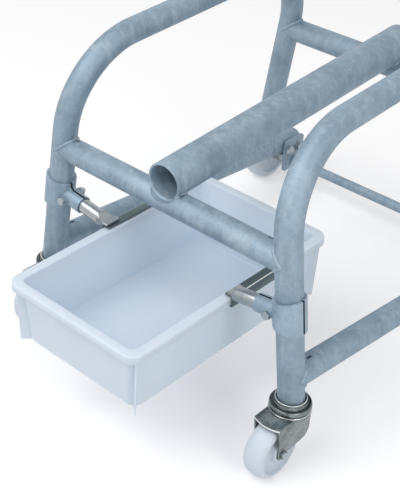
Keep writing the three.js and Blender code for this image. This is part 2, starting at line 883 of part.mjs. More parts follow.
// Arm tube: round in the clamp's sleeve, pressed to a flat tongue on the rail
function armTube() {
  const lean = new THREE.Matrix4().makeRotationY(-splay);
  const at = framePoint(frontLegY, clampHeightZ);
  const roundRing = (x) => armSection(armRadius, armRadius)
    .map((p) => armPoint(x).add(point(0, p.x, p.y)).applyMatrix4(lean).add(at));
  const flatRing = (x) => armSection(tongueHalfWidth, tongueThickness / 2)
    .map((p) => point(x, frontLegY + tongueShift + p.x, railTopZ + seatGap + tongueThickness / 2 + p.y));
  const tube = lofted([
    roundRing(armStart), roundRing(armRoundReach),
    flatRing(railWebX + tongueBend), flatRing(railWebX - railFlange),
  ]);
  const bore = bar(armPoint(armStart - cutOverrun), armPoint(armRoundReach - armEndWall),
    armRadius - armWall, roundTube);
  return cut(tube, ontoLeg(bore));
}

// Channel rail with its open side inwards
function rail() {
  const innerX = railWebX - railFlange;
  return frontPlate([
    [innerX, railBottomZ], [railWebX, railBottomZ], [railWebX, railTopZ], [innerX, railTopZ],
    [innerX, railTopZ - railSheet], [railWebX - railSheet, railTopZ - railSheet],
    [railWebX - railSheet, railBottomZ + railSheet], [innerX, railBottomZ + railSheet],
  ], railFrontY, railFrontY + railLength);
}

// Ring of a rounded rectangle at a height, centred on the tray
function trayRing(insetX, insetY, corner, z) {
  return roundedRectangle(trayHalfWidth - insetX, trayLength / 2 - insetY, corner)
    .map((p) => point(p.x, p.y + trayMiddleY, z));
}

// Diagonal corner fin between rim, wall and floor
function trayFin(sideX, sideY) {
  const underRim = trayRimZ - trayRimThickness / 2;
  const shape = new THREE.Shape([
    new THREE.Vector2(0, underRim), new THREE.Vector2(finTopReach, underRim),
    new THREE.Vector2(finFootReach, trayFloorZ), new THREE.Vector2(0, trayFloorZ),
  ]);
  const fin = new THREE.ExtrudeGeometry(shape, { depth: finThickness, bevelEnabled: false });
  const outwards = point(sideX, sideY, 0).normalize();
  fin.translate(0, 0, -finThickness / 2);
  fin.applyMatrix4(new THREE.Matrix4().makeBasis(outwards, zAxis, point(0, 0, 0).crossVectors(outwards, zAxis)));
  fin.translate(
    sideX * (trayHalfWidth - trayRimWidth - traySideDraft - trayFloorCorner),
    trayMiddleY + sideY * (trayLength / 2 - trayRimWidth - trayEndDraft - trayFloorCorner),
    0,
  );
  return fin;
}

// Wall of the tray as a tapered solid, inset from the rim's edge
function trayWallBody(inset, fromZ, toZ) {
  const top = trayRimWidth + inset;
  return [
    trayRing(top + traySideDraft, top + trayEndDraft, trayFloorCorner - inset, fromZ),
    trayRing(top, top, trayWallCorner - inset, toZ),
  ];
}

function tray() {
  const shell = lofted(trayWallBody(0, trayFloorZ, trayRimZ));
  const rimEdge = (inset, z) => trayRing(inset, inset, trayCorner - inset, z);
  const rim = lofted([rimEdge(0, trayRimZ - trayRimThickness), rimEdge(0, trayRimZ)]);
  const lip = cut(
    lofted([rimEdge(0, trayRimZ - trayLipDepth), rimEdge(0, trayRimZ)]),
    lofted([
      rimEdge(trayLipThickness, trayRimZ - trayLipDepth - cutOverrun),
      rimEdge(trayLipThickness, trayRimZ - trayRimThickness),
    ]),
  );
  const wallInside = trayWallBody(trayWall, trayFloorZ + trayWall, trayRimZ);
  const inside = lofted([...wallInside, wallInside[1].map((p) => p.clone().addScaledVector(zAxis, cutOverrun))]);
  const fins = [[1, 1], [-1, 1], [-1, -1], [1, -1]].map(([sideX, sideY]) => trayFin(sideX, sideY));
  return cut(joined(shell, rim, lip, ...fins), inside);
}

// Finishes
function finish(colour, roughness, metalness) {
  return () => new THREE.MeshStandardMaterial({ color: new THREE.Color(...colour), roughness, metalness });
}

const galvanised = finish([0.5, 0.56, 0.61], 0.5, 0.6);
const zincPlate = finish([0.55, 0.58, 0.58], 0.32, 0.9);
const nylon = finish([0.72, 0.77, 0.82], 0.45, 0);
const trayPlastic = finish([0.66, 0.74, 0.83], 0.4, 0);

const group = new THREE.Group();
group.name = 'drum_dolly';

function addPiece(name, geometry, material) {
  const placed = outward(geometry);
  placed.computeVertexNormals();
  const mesh = new THREE.Mesh(placed, material());
  mesh.name = name;
  group.add(mesh);
}

function addPair(name, geometry, material) {
  addPiece(`${name}_right`, geometry, material);
  addPiece(`${name}_left`, mirrored(geometry), material);
}

const hoopForCoping = hoopSweep(tubeRadius + seatGap);
const saddle = socketSaddle();
const [frontScrew, rearScrew] = screwPlaces();
addPair('side_hoop', sideHoop(), galvanised);
addPair('bottom_tube', bottomTube(), galvanised);
addPiece('front_cross_tube', crossTube(frontLegY, frontCrossZ, hoopForCoping, saddle), galvanised);
addPiece('rear_cross_tube', crossTube(rearLegY, rearCrossZ(), hoopForCoping, saddle), galvanised);
addPiece('lever_socket', leverSocket(), galvanised);
addPair('axle_plate', axlePlate(), galvanised);
addPair('axle_screw_front', plateScrew(frontScrew), zincPlate);
addPair('axle_screw_rear', plateScrew(rearScrew), zincPlate);
addPiece('rear_axle', rearAxle(), galvanised);
addPair('axle_spacer', rearSpacer(), zincPlate);
addPair('axle_washer', axleWasher(), zincPlate);
addPair('axle_pin', axlePin(), zincPlate);
addPair('rear_wheel', rearWheel(), nylon);
addPair('leg_plug', legPlug(), zincPlate);
addPair('castor_cup', castorCup(), zincPlate);
addPair('castor_race', ballRace(), zincPlate);
addPair('castor_kingpin', kingpin(), zincPlate);
addPair('castor_fork', castorFork(), zincPlate);
addPair('castor_wheel', castorWheel(), nylon);
addPair('castor_axle_bolt', castorAxleBolt(), zincPlate);
addPair('castor_axle_nut', castorAxleNut(), zincPlate);
addPair('clamp_front', clampHalf(-1), galvanised);
addPair('clamp_rear', clampHalf(1), galvanised);
addPair('clamp_bolt', clampBolt(), zincPlate);
addPair('clamp_nut', clampNut(), zincPlate);
addPair('arm_tube', armTube(), zincPlate);
addPair('tray_rail', rail(), zincPlate);
addPiece('drip_tray', tray(), trayPlastic);

export default group;
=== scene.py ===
import math

import bpy
from mathutils import Matrix, Vector, noise


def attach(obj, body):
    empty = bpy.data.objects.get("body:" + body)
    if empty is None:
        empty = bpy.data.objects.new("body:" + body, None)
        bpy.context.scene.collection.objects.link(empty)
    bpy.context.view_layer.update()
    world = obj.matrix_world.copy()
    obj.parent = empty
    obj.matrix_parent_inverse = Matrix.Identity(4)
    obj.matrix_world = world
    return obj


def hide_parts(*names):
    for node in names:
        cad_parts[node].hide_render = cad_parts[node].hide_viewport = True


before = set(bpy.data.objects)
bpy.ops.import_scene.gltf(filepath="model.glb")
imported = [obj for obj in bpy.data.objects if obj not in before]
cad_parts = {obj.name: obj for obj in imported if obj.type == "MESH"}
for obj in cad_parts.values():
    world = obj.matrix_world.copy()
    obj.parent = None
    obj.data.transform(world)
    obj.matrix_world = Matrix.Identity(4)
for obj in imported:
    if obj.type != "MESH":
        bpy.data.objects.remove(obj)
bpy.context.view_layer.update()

# Sizes in metres, the same as the part's
MM = 0.001
TUBE_RADIUS = 21.2 * MM
TUBE_WALL = 3.2 * MM
SPLAY = math.radians(7.7)
FLOOR_HALF = 284.4 * MM
FRONT_Y = -259 * MM
REAR_Y = 331 * MM
FOOT_Z = 128 * MM
BEND = 140 * MM
SHOULDER_Z = 530 * MM
SHOULDER_SLOPE = math.radians(2.24)
BOTTOM_FRONT_Z = 164 * MM
BOTTOM_SLOPE = math.radians(5.46)
BOTTOM_REAR_Y = 441 * MM
CROSS_Z = 363 * MM
SOCKET_RADIUS = 31.75 * MM
SOCKET_WALL = 4 * MM
SOCKET_SINK = 16 * MM
SOCKET_SLOPE = math.radians(3.24)
SOCKET_FRONT_REACH = 12 * MM
SOCKET_REAR_REACH = 24 * MM
SEAT = 0.3 * MM
BOLT_RADIUS = 4 * MM
BOLT_HOLE = 4.3 * MM
REAR_CROSS_Z = CROSS_Z + (REAR_Y - FRONT_Y) * math.tan(SOCKET_SLOPE)
CROSSES = (("front", FRONT_Y, CROSS_Z), ("rear", REAR_Y, REAR_CROSS_Z))

# How far cutting tools run past what they cut
PAST_SHORT = 10 * MM
PAST = 50 * MM
PAST_LONG = 100 * MM

# Directions
X = Vector((1, 0, 0))
Y = Vector((0, 1, 0))
Z = Vector((0, 0, 1))
LEAN = Vector((-math.sin(SPLAY), 0, math.cos(SPLAY)))


def mm(x, y, z):
    return Vector((x, y, z)) * MM


def leg_x(z):
    return FLOOR_HALF - z * math.tan(SPLAY)


def on_leg(y, z):
    return Vector((leg_x(z), y, z))


def bottom_z(y):
    return BOTTOM_FRONT_Z - (y - FRONT_Y) * math.tan(BOTTOM_SLOPE)


def on_bottom(y):
    return on_leg(y, bottom_z(y))


def socket_z(y):
    return CROSS_Z + TUBE_RADIUS + SOCKET_RADIUS - SOCKET_SINK + (y - FRONT_Y) * math.tan(SOCKET_SLOPE)


def on_socket(y):
    return Vector((0, y, socket_z(y)))


# Work steps
MERGE_DISTANCE = 0.01 * MM
ROUNDING_LIMIT = 0.45
HEX_CAP_SLOPE = 0.55
HEX_CAP_DROP = 0.6 * MM
HEX_FLAT_INSET = 0.2 * MM


def begin():
    if bpy.context.mode != "OBJECT":
        bpy.ops.object.mode_set(mode="OBJECT")
    bpy.ops.object.select_all(action="DESELECT")


def pick(piece):
    begin()
    piece.select_set(True)
    bpy.context.view_layer.objects.active = piece


def edit_all(piece):
    pick(piece)
    bpy.ops.object.mode_set(mode="EDIT")
    bpy.ops.mesh.select_all(action="SELECT")


def current(name):
    """Active piece under a new name"""
    piece = bpy.context.view_layer.objects.active
    piece.name = name
    piece.data.name = name
    return piece


def turn_to(direction):
    """Rotation that points a piece's Z axis along a direction"""
    return Vector(direction).to_track_quat("Z", "Y").to_euler()


def settle(piece, smooth=35):
    """Position taken into the mesh, and edges flatter than an angle shaded smooth"""
    pick(piece)
    bpy.ops.object.transform_apply(location=True, rotation=True, scale=True)
    bpy.ops.object.shade_smooth_by_angle(angle=math.radians(smooth))
    return piece


def tidy_skin(piece):
    edit_all(piece)
    bpy.ops.mesh.remove_doubles(threshold=MERGE_DISTANCE)
    bpy.ops.mesh.normals_make_consistent(inside=False)
    bpy.ops.object.mode_set(mode="OBJECT")
    return piece


def modify(piece, kind, **settings):
    pick(piece)
    step = piece.modifiers.new(kind, kind)
    for key, value in settings.items():
        setattr(step, key, value)
    bpy.ops.object.modifier_apply(modifier=step.name)
    return piece


def eased(piece, width, segments=2, angle=40):
    """Edges sharper than an angle in degrees rounded off"""
    return modify(
        piece, "BEVEL", width=width, segments=segments, limit_method="ANGLE",
        angle_limit=math.radians(angle), use_clamp_overlap=True, miter_outer="MITER_ARC",
    )


def carved(piece, *tools, how="DIFFERENCE"):
    for tool in tools:
        modify(piece, "BOOLEAN", object=tool, operation=how, solver="EXACT")
        bpy.data.objects.remove(tool)
    return piece


def bar(start, end, radius, sides=48, name="tool"):
    """Round bar between two places"""
    start, end = Vector(start), Vector(end)
    begin()
    bpy.ops.mesh.primitive_cylinder_add(
        vertices=sides,
        radius=radius,
        depth=(end - start).length,
        location=(start + end) / 2,
        rotation=turn_to(end - start),
    )
    piece = current(name)
    bpy.ops.object.transform_apply(location=True, rotation=True, scale=True)
    return piece


def block(low, high):
    """Box between two corners"""
    low, high = Vector(low), Vector(high)
    begin()
    bpy.ops.mesh.primitive_cube_add(size=1, location=(low + high) / 2, scale=high - low)
    piece = current("tool")
    bpy.ops.object.transform_apply(location=True, rotation=True, scale=True)
    return piece


def tube(name, start, end, radius, wall, sides=64):
    """Open tube between two places"""
    piece = bar(start, end, radius, sides, name)
    past = (Vector(end) - Vector(start)).normalized() * PAST_SHORT
    return carved(piece, bar(Vector(start) - past, Vector(end) + past, radius - wall, sides))


def turned(name, profile, at, along, steps=64):
    """Profile of radius and height pairs, spun round a line"""
    begin()
    bpy.ops.mesh.primitive_plane_add(size=MM, enter_editmode=True)
    bpy.ops.mesh.select_all(action="SELECT")
    bpy.ops.mesh.merge(type="CENTER")
    bpy.ops.transform.translate(value=(profile[0][0], 0, profile[0][1]))
    for (r0, h0), (r1, h1) in zip(profile, profile[1:]):
        bpy.ops.mesh.extrude_region_move(TRANSFORM_OT_translate={"value": (r1 - r0, 0, h1 - h0)})
    bpy.ops.mesh.select_all(action="SELECT")
    bpy.ops.mesh.spin(steps=steps, angle=math.tau, center=(0, 0, 0), axis=(0, 0, 1))
    bpy.ops.object.mode_set(mode="OBJECT")
    piece = tidy_skin(current(name))
    piece.location = at
    piece.rotation_euler = turn_to(along)
    return settle(piece)


def in_metres(pairs):
    return [(a * MM, b * MM) for a, b in pairs]


def ring_profile(inner, outer, thick):
    return [(inner, 0), (outer, 0), (outer, thick), (inner, thick), (inner, 0)]


def rounded(profile, radius, steps=4):
    """Corners of an open profile rounded by short arcs"""
    soft = [Vector(profile[0])]
    for a, b, c in zip(profile, profile[1:], profile[2:]):
        a, b, c = Vector(a), Vector(b), Vector(c)
        back, ahead = (a - b), (c - b)
        reach = min(radius, back.length * ROUNDING_LIMIT, ahead.length * ROUNDING_LIMIT)
        start, end = b + back.normalized() * reach, b + ahead.normalized() * reach
        for i in range(steps + 1):
            t = i / steps
            soft.append(start * (1 - t) ** 2 + b * 2 * t * (1 - t) + end * t**2)
    soft.append(Vector(profile[-1]))
    return [tuple(p) for p in soft]


def rounded_plate(half_y, half_z, corner, steps=8):
    """Outline of a rectangle with round corners"""
    places = []
    for quarter, (sy, sz) in enumerate(((1, 1), (-1, 1), (-1, -1), (1, -1))):
        for i in range(steps + 1):
            angle = (quarter + i / steps) * math.pi / 2
            y = sy * (half_y - corner) + corner * math.cos(angle)
            places.append((y, sz * (half_z - corner) + corner * math.sin(angle)))
    return places


def soft_line(points, steps=5):
    """Points joined by a smooth curve through them"""
    points = [Vector(p) for p in points]
    padded = [points[0] * 2 - points[1]] + points + [points[-1] * 2 - points[-2]]
    line = []
    for a, b, c, d in zip(padded, padded[1:], padded[2:], padded[3:]):
        for i in range(steps):
            t = i / steps
            square = (a * 2 - b * 5 + c * 4 - d) * t**2
            cube = (b * 3 - a - c * 3 + d) * t**3
            line.append(((b * 2) + (c - a) * t + square + cube) / 2)
    return line + [points[-1]]


def skinned(name, rings):
    """Closed skin over rings of places, each ring as long as the first"""
    count = len(rings[0])
    places = [tuple(p) for ring in rings for p in ring]
    faces = []
    for k in range(len(rings) - 1):
        for i in range(count):
            a, b = k * count + i, k * count + (i + 1) % count
            faces.append((a, b, b + count, a + count))
    faces.append(tuple(reversed(range(count))))
    faces.append(tuple(range(len(places) - count, len(places))))
    mesh = bpy.data.meshes.new(name)
    mesh.from_pydata(places, [], faces)
    piece = bpy.data.objects.new(name, mesh)
    bpy.context.scene.collection.objects.link(piece)
    return tidy_skin(piece)


def joined(*pieces):
    begin()
    for piece in pieces:
        piece.select_set(True)
    bpy.context.view_layer.objects.active = pieces[0]
    bpy.ops.object.join()
    return pieces[0]


def other_side(piece, name):
    """Left-hand twin of a right-hand piece"""
    twin = piece.copy()
    twin.data = piece.data.copy()
    twin.name = twin.data.name = name
    bpy.context.scene.collection.objects.link(twin)
    twin.data.transform(Matrix.Scale(-1, 4, X))
    twin.data.flip_normals()
    return twin


def hex_piece(name, across, height, at, way, dome=0.0):
    """Hexagon with its top corners turned off"""
    radius = across / math.sqrt(3)
    begin()
    bpy.ops.mesh.primitive_cylinder_add(vertices=6, radius=radius, depth=height, location=(0, 0, height / 2))
    piece = current(name)
    bpy.ops.object.transform_apply(location=True, rotation=True, scale=True)
    cap = radius - across / 2
    cap_low = height - cap * HEX_CAP_SLOPE - HEX_CAP_DROP
    profile = [(0, -MM), (radius + MM, -MM), (radius + MM, cap_low)]
    profile += [(across / 2 - HEX_FLAT_INSET, height), (0, height + dome)]
    carved(piece, turned("tool", profile, (0, 0, 0), Z, steps=48), how="INTERSECT")
    piece.rotation_euler = turn_to(way)
    piece.location = at
    settle(piece, smooth=25)
    return settle(eased(piece, width=0.25 * MM, segments=1), smooth=30)


# Weld beads
BEAD = 3.6 * MM
BEAD_POINTS = 120
BEAD_SINK = 0.12
BEAD_RIPPLE = 0.2
SADDLE_BEAD = 3 * MM
SADDLE_FRONT = -9.5 * MM
SADDLE_REAR = 21 * MM


def swell(i, place, beat, pace, grain):
    """Thickness of a bead at one point, as a share of its mean"""
    return 1 + beat * math.sin(i * pace) + BEAD_RIPPLE * noise.noise(place * grain)


def lined(name, points, radii, depth):
    """Closed bead of varying thickness through points"""
    curve = bpy.data.curves.new(name, "CURVE")
    curve.dimensions = "3D"
    curve.bevel_depth = depth
    curve.bevel_resolution = 3
    spline = curve.splines.new("POLY")
    spline.points.add(len(points) - 1)
    spline.use_cyclic_u = True
    for point, place, radius in zip(spline.points, points, radii):
        point.co = (*place, 1)
        point.radius = radius
    piece = bpy.data.objects.new(name, curve)
    bpy.context.scene.collection.objects.link(piece)
    pick(piece)
    bpy.ops.object.convert(target="MESH")
    piece = current(name)
    return settle(tidy_skin(piece), smooth=60)


def weld(start, towards, other, other_way):
    """Bead where the end of one frame tube meets the side of another"""
    along = Vector(towards).normalized()
    side = along.orthogonal().normalized()
    up = along.cross(side)
    way = Vector(other_way).normalized()
    points, radii = [], []
    for i in range(BEAD_POINTS):
        angle = math.tau * i / BEAD_POINTS
        out = side * math.cos(angle) + up * math.sin(angle)
        base = Vector(start) + out * TUBE_RADIUS - Vector(other)
        flat, run = base - way * base.dot(way), along - way * along.dot(way)
        a, b, c = run.dot(run), flat.dot(run), flat.dot(flat) - TUBE_RADIUS**2
        t = (-b - math.sqrt(max(b * b - a * c, 0))) / a
        place = base + along * t
        foot = (place - way * place.dot(way)).normalized()
        points.append(Vector(other) + place - (out + foot) * BEAD * BEAD_SINK)
        radii.append(swell(i, place + Vector(other), beat=0.03, pace=1.9, grain=260))
    return lined("bead", points, radii, BEAD)


def saddle_weld(end, y, z):
    """Bead round the lever socket where it lies in the notch of a cross tube"""
    low, high = socket_z(y) - SOCKET_RADIUS, z + TUBE_RADIUS
    points, radii = [], []
    for i in range(BEAD_POINTS):
        turn = math.tau * i / BEAD_POINTS
        height = low + (high - low) * (1 - math.cos(2 * turn)) / 2
        out_y = math.sqrt(max(TUBE_RADIUS**2 - (height - z) ** 2, 0)) * (1 if math.cos(turn) > 0 else -1)
        out_y = max(out_y, SADDLE_FRONT) if end == "front" else min(out_y, SADDLE_REAR)
        drop = height - socket_z(y + out_y)
        out_x = math.sqrt(max(SOCKET_RADIUS**2 - drop**2, 0)) * (1 if math.sin(turn) > 0 else -1)
        points.append(Vector((out_x, y + out_y, height)))
        radii.append(swell(i, points[-1], beat=0.04, pace=1.7, grain=240))
    return lined("saddle_weld_" + end, points, radii, SADDLE_BEAD)


# Materials


class Wire:
    """Output socket with arithmetic"""

    def __init__(self, finish, socket):
        self.finish = finish
        self.socket = socket

    def _sum(self, how, first, second):
        return self.finish.node("ShaderNodeMath", {"operation": how}, {0: first, 1: second})

    def __add__(self, other):
        return self._sum("ADD", self, other)

    def __radd__(self, other):
        return self._sum("ADD", self, other)

    def __mul__(self, other):
        return self._sum("MULTIPLY", self, other)

    def __sub__(self, other):
        return self._sum("SUBTRACT", self, other)

    def __rsub__(self, other):
        return self._sum("SUBTRACT", other, self)

    def of(self, name):
        return Wire(self.finish, self.socket.node.outputs[name])


class Finish:
    """Material built on one surface shader"""

    def __init__(self, name, **constants):
        self.material = bpy.data.materials.new(name)
        self.material.use_nodes = True
        self.tree = self.material.node_tree
        self.tree.nodes.clear()
        self.shader = self.tree.nodes.new("ShaderNodeBsdfPrincipled")
        self.out = self.tree.nodes.new("ShaderNodeOutputMaterial")
        self.tree.links.new(self.shader.outputs[0], self.out.inputs["Surface"])
        self.place = self.node("ShaderNodeTexCoord").of("Object")
        for key, value in constants.items():
            self.shader.inputs[key.replace("_", " ")].default_value = value

    def put(self, socket, value):
        """Link or constant on an input socket"""
        if isinstance(value, Wire):
            self.tree.links.new(value.socket, socket)
        elif isinstance(value, tuple) and len(value) == 3 and socket.type == "RGBA":
            socket.default_value = (*value, 1)
        else:
            socket.default_value = value

    def node(self, kind, settings=None, inputs=None):
        made = self.tree.nodes.new(kind)
        for key, value in (settings or {}).items():
            setattr(made, key, value)
        for key, value in (inputs or {}).items():
            self.put(made.inputs[key], value)
        shown = [o for o in made.outputs if o.enabled]
        return Wire(self, shown[0])

    def rise(self, value, low, high):
        """Zero below a low value, one above a high value, and even between them"""
        ramp = self.node("ShaderNodeValToRGB", {}, {"Fac": value})
        first, last = ramp.socket.node.color_ramp.elements
        first.position = low
        last.position = high
        return ramp

    def stretched(self, x, y, z):
        return self.node("ShaderNodeMapping", {}, {"Vector": self.place, "Scale": (x, y, z)})

    def noise(self, scale, detail, rough=0.55, vector=None):
        inputs = {"Vector": vector or self.place, "Scale": scale, "Detail": detail, "Roughness": rough}
        return self.node("ShaderNodeTexNoise", {}, inputs)

    def cells(self, scale):
        return self.node("ShaderNodeTexVoronoi", {}, {"Vector": self.place, "Scale": scale})

    def mix(self, factor, first, second):
        # Inputs 6 and 7 of a mix node take its two colours
        return self.node("ShaderNodeMix", {"data_type": "RGBA"}, {0: factor, 6: first, 7: second})

    def colour(self, value):
        self.put(self.shader.inputs["Base Color"], value)

    def roughness(self, value):
        self.put(self.shader.inputs["Roughness"], value)

    def metallic(self, value):
        self.put(self.shader.inputs["Metallic"], value)

    def relief(self, height, distance, strength):
        bump = self.node("ShaderNodeBump", {}, {"Height": height, "Distance": distance, "Strength": strength})
        self.put(self.shader.inputs["Normal"], bump)


def shaded(colour, share):
    return tuple(c * share for c in colour)


def galvanised(name, dark, light, chalk):
    """Cloudy zinc with spangle, runs and dark specks"""
    speck = (0.14, 0.17, 0.2)
    f = Finish(name, Specular_IOR_Level=0.5)
    spangle = f.node("ShaderNodeSeparateColor", {}, {"Color": f.cells(150).of("Color")})
    clouds = f.rise(f.noise(22, detail=5, rough=0.6), 0.3, 0.72)
    patches = f.rise(f.noise(9, detail=4, rough=0.6), 0.42, 0.62)
    streaks = f.rise(f.noise(60, detail=4, rough=0.65, vector=f.stretched(1, 1, 0.12)), 0.5, 0.72)
    specks = f.rise(f.noise(420, detail=2, rough=0.5), 0.62, 0.74)
    tone = clouds * 0.5 + spangle * 0.22 + patches * 0.28
    base = f.mix(tone, dark, light)
    base = f.mix(streaks * 0.35, base, chalk)
    base = f.mix(specks * 0.42, base, speck)
    f.colour(base)
    f.roughness(0.5 + clouds * 0.1 + spangle * 0.08 + streaks * 0.1)
    f.metallic(0.6 - streaks * 0.25 - patches * 0.1)
    height = spangle * 0.3 + f.noise(55, detail=4) * 0.9 + specks * 0.3
    f.relief(height, distance=0.35 * MM, strength=0.6)
    return f.material


def bright_zinc(name, base, worn, rough):
    """Smooth plated steel, brushed and a little grimy"""
    f = Finish(name)
    brushed = f.noise(700, detail=3, rough=0.6, vector=f.stretched(0.08, 1, 1))
    clouds = f.rise(f.noise(30, detail=4, rough=0.6), 0.35, 0.7)
    grime = f.rise(f.noise(80, detail=5, rough=0.7), 0.55, 0.75)
    f.colour(f.mix(grime * 0.55, f.mix(clouds, base, shaded(base, 1.15)), worn))
    f.roughness(rough + brushed * 0.1 + grime * 0.15)
    f.metallic(0.95 - grime * 0.2)
    f.relief(brushed * 0.5 + clouds * 0.5, distance=0.08 * MM, strength=0.5)
    return f.material


def weathered_castor(name, grooves=()):
    """Dull plated steel, with painted shade darkening grooves, each groove a middle height and half a width
    """
    dull, clean = (0.125, 0.15, 0.148), (0.265, 0.305, 0.31)
    pale, scratched, painted_shade = (0.42, 0.47, 0.48), (0.12, 0.14, 0.135), (0.03, 0.036, 0.035)
    f = Finish(name)
    clouds = f.rise(f.noise(34, detail=5, rough=0.6), 0.32, 0.7)
    bloom = f.rise(f.noise(85, detail=5, rough=0.7), 0.45, 0.7)
    scratch = f.rise(f.noise(260, detail=3, rough=0.6, vector=f.stretched(1, 1, 0.1)), 0.58, 0.7)
    base = f.mix(clouds, dull, clean)
    base = f.mix(bloom * 0.3, base, pale)
    base = f.mix(scratch * 0.35, base, scratched)
    # Painted shade: the colour darkens to near black around each groove's height
    for middle, half in grooves:
        height = f.node("ShaderNodeSeparateXYZ", {}, {"Vector": f.place}).of("Z")
        near = f.node("ShaderNodeMath", {"operation": "ABSOLUTE"}, {0: height - middle})
        groove_shade_share = {"Value": near, "From Min": half * 0.5, "From Max": half, "To Min": 0.8, "To Max": 0.0}
        base = f.mix(f.node("ShaderNodeMapRange", {}, groove_shade_share), base, painted_shade)
    f.colour(base)
    f.roughness(0.24 + bloom * 0.18 + scratch * 0.1)
    f.metallic(0.92 - bloom * 0.15)
    f.relief(clouds * 0.6 + scratch * 0.3, distance=0.1 * MM, strength=0.5)
    return f.material


def milky(name, base, shade, rough, soft, grime):
    """Plastic that lets a little light in, with haze and scuffs"""
    f = Finish(name, Subsurface_Weight=soft, Subsurface_Scale=0.02)
    f.shader.inputs["Subsurface Radius"].default_value = (0.7, 0.85, 1.0)
    clouds = f.noise(14, detail=3, rough=0.5)
    haze = f.rise(f.noise(48, detail=5, rough=0.6), 0.35, 0.75)
    scuff = f.rise(f.noise(150, detail=4, rough=0.7, vector=f.stretched(1, 0.3, 1)), 0.6, 0.78)
    f.colour(f.mix(scuff * grime, f.mix(clouds, shade, base), shaded(base, 0.72)))
    f.roughness(rough + haze * 0.12 + scuff * 0.1)
    f.relief(haze * 0.4 + f.noise(700, detail=2) * 0.25, distance=0.12 * MM, strength=0.4)
    return f.material


STEEL = galvanised("galvanised steel", (0.19, 0.26, 0.325), (0.37, 0.47, 0.555), (0.54, 0.62, 0.68))
CLAMP_STEEL = galvanised("clamp galvanising", (0.22, 0.3, 0.375), (0.4, 0.51, 0.6), (0.54, 0.62, 0.68))
WELD_STEEL = galvanised("weld galvanising", (0.2, 0.27, 0.33), (0.38, 0.48, 0.56), (0.56, 0.64, 0.7))
ZINC = bright_zinc("bright zinc tube", (0.34, 0.37, 0.385), (0.18, 0.19, 0.19), rough=0.28)
SCREW = bright_zinc("screw zinc", (0.34, 0.39, 0.41), (0.15, 0.17, 0.17), rough=0.26)
# Painted reflection: the rail zinc is coloured near black, standing in for dark surroundings mirrored in it
RAIL_PAINTED_DARK = bright_zinc("rail zinc with painted dark reflection", (0.1, 0.14, 0.15), (0.06, 0.08, 0.085), rough=0.32)
# Painted shade: near black colour for the faces inside the clamp slit
SLIT_PAINTED_SHADE = bright_zinc("painted shade in the clamp slit", (0.02, 0.022, 0.025), (0.01, 0.01, 0.01), rough=0.6)
# Painted highlight: pale zinc on the faces of rounded edges, standing in for the glint of light along them
PAINTED_EDGE_HIGHLIGHT = bright_zinc("painted highlight on rounded edges", (0.72, 0.74, 0.73), (0.4, 0.42, 0.4), rough=0.22)
CASTOR = weathered_castor("castor steel")
# Cup steel with painted shade in its two grooves
CUP = weathered_castor("castor cup steel with painted groove shade", in_metres([(122.4, 1.3), (113.6, 1.8)]))
NYLON = milky("wheel nylon", (0.66, 0.72, 0.78), (0.56, 0.63, 0.7), rough=0.42, soft=0.25, grime=0.25)
TRAY = milky("tray polyethylene", (0.68, 0.77, 0.88), (0.63, 0.725, 0.84), rough=0.36, soft=0.35, grime=0.1)


def fit(piece, material, body, slot, *nodes):
    """Material, body and replaced nodes of a finished piece; slot is not used"""
    piece.data.materials.clear()
    piece.data.materials.append(material)
    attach(piece, body)
    if nodes:
        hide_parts(*nodes)
    return piece


def fit_pair(piece, base, material, bodies, slot, node=None):
    """Right-hand piece and its left-hand twin, each on its own body"""
    twin = other_side(piece, base + "_left")
    piece.name = piece.data.name = base + "_right"
    for made, side in ((piece, "right"), (twin, "left")):
        nodes = (node + "_" + side,) if node else ()
        fit(made, material, bodies.format(side), slot, *nodes)


def touch_up(base, material, chosen):
    """Faces of both twins whose middle passes the test get another material"""
    for side in ("right", "left"):
        mesh = bpy.data.objects[base + "_" + side].data
        mesh.materials.append(material)
        for face in mesh.polygons:
            if chosen(face.center):
                face.material_index = len(mesh.materials) - 1


# Frame tubes
FOOT_SPARE = 30 * MM
BEND_STEPS = 20
CORE_HALF = 36 * MM
VENT_RADIUS = 2.8 * MM
OUTSIDE_X = 400 * MM


def bottom_seat():
    """Tool for the notch that a bottom tube lies in"""
    return bar(on_bottom(0), on_bottom(BOTTOM_REAR_Y + PAST), TUBE_RADIUS + SEAT, sides=64)


def leg_seat():
    """Tool for the notch that a front leg stands in"""
    return bar(on_leg(FRONT_Y, 0), on_leg(FRONT_Y, CROSS_Z), TUBE_RADIUS + SEAT, sides=64)


def saddle():
    """Tool for the notches that the lever socket lies in"""
    return bar(on_socket(FRONT_Y - PAST_LONG), on_socket(REAR_Y + PAST_LONG), SOCKET_RADIUS + SEAT, sides=64)


def plane_point(y, up):
    """Place in the leaning plane of a side hoop"""
    return Vector((FLOOR_HALF, 0, 0)) + Y * y + LEAN * up


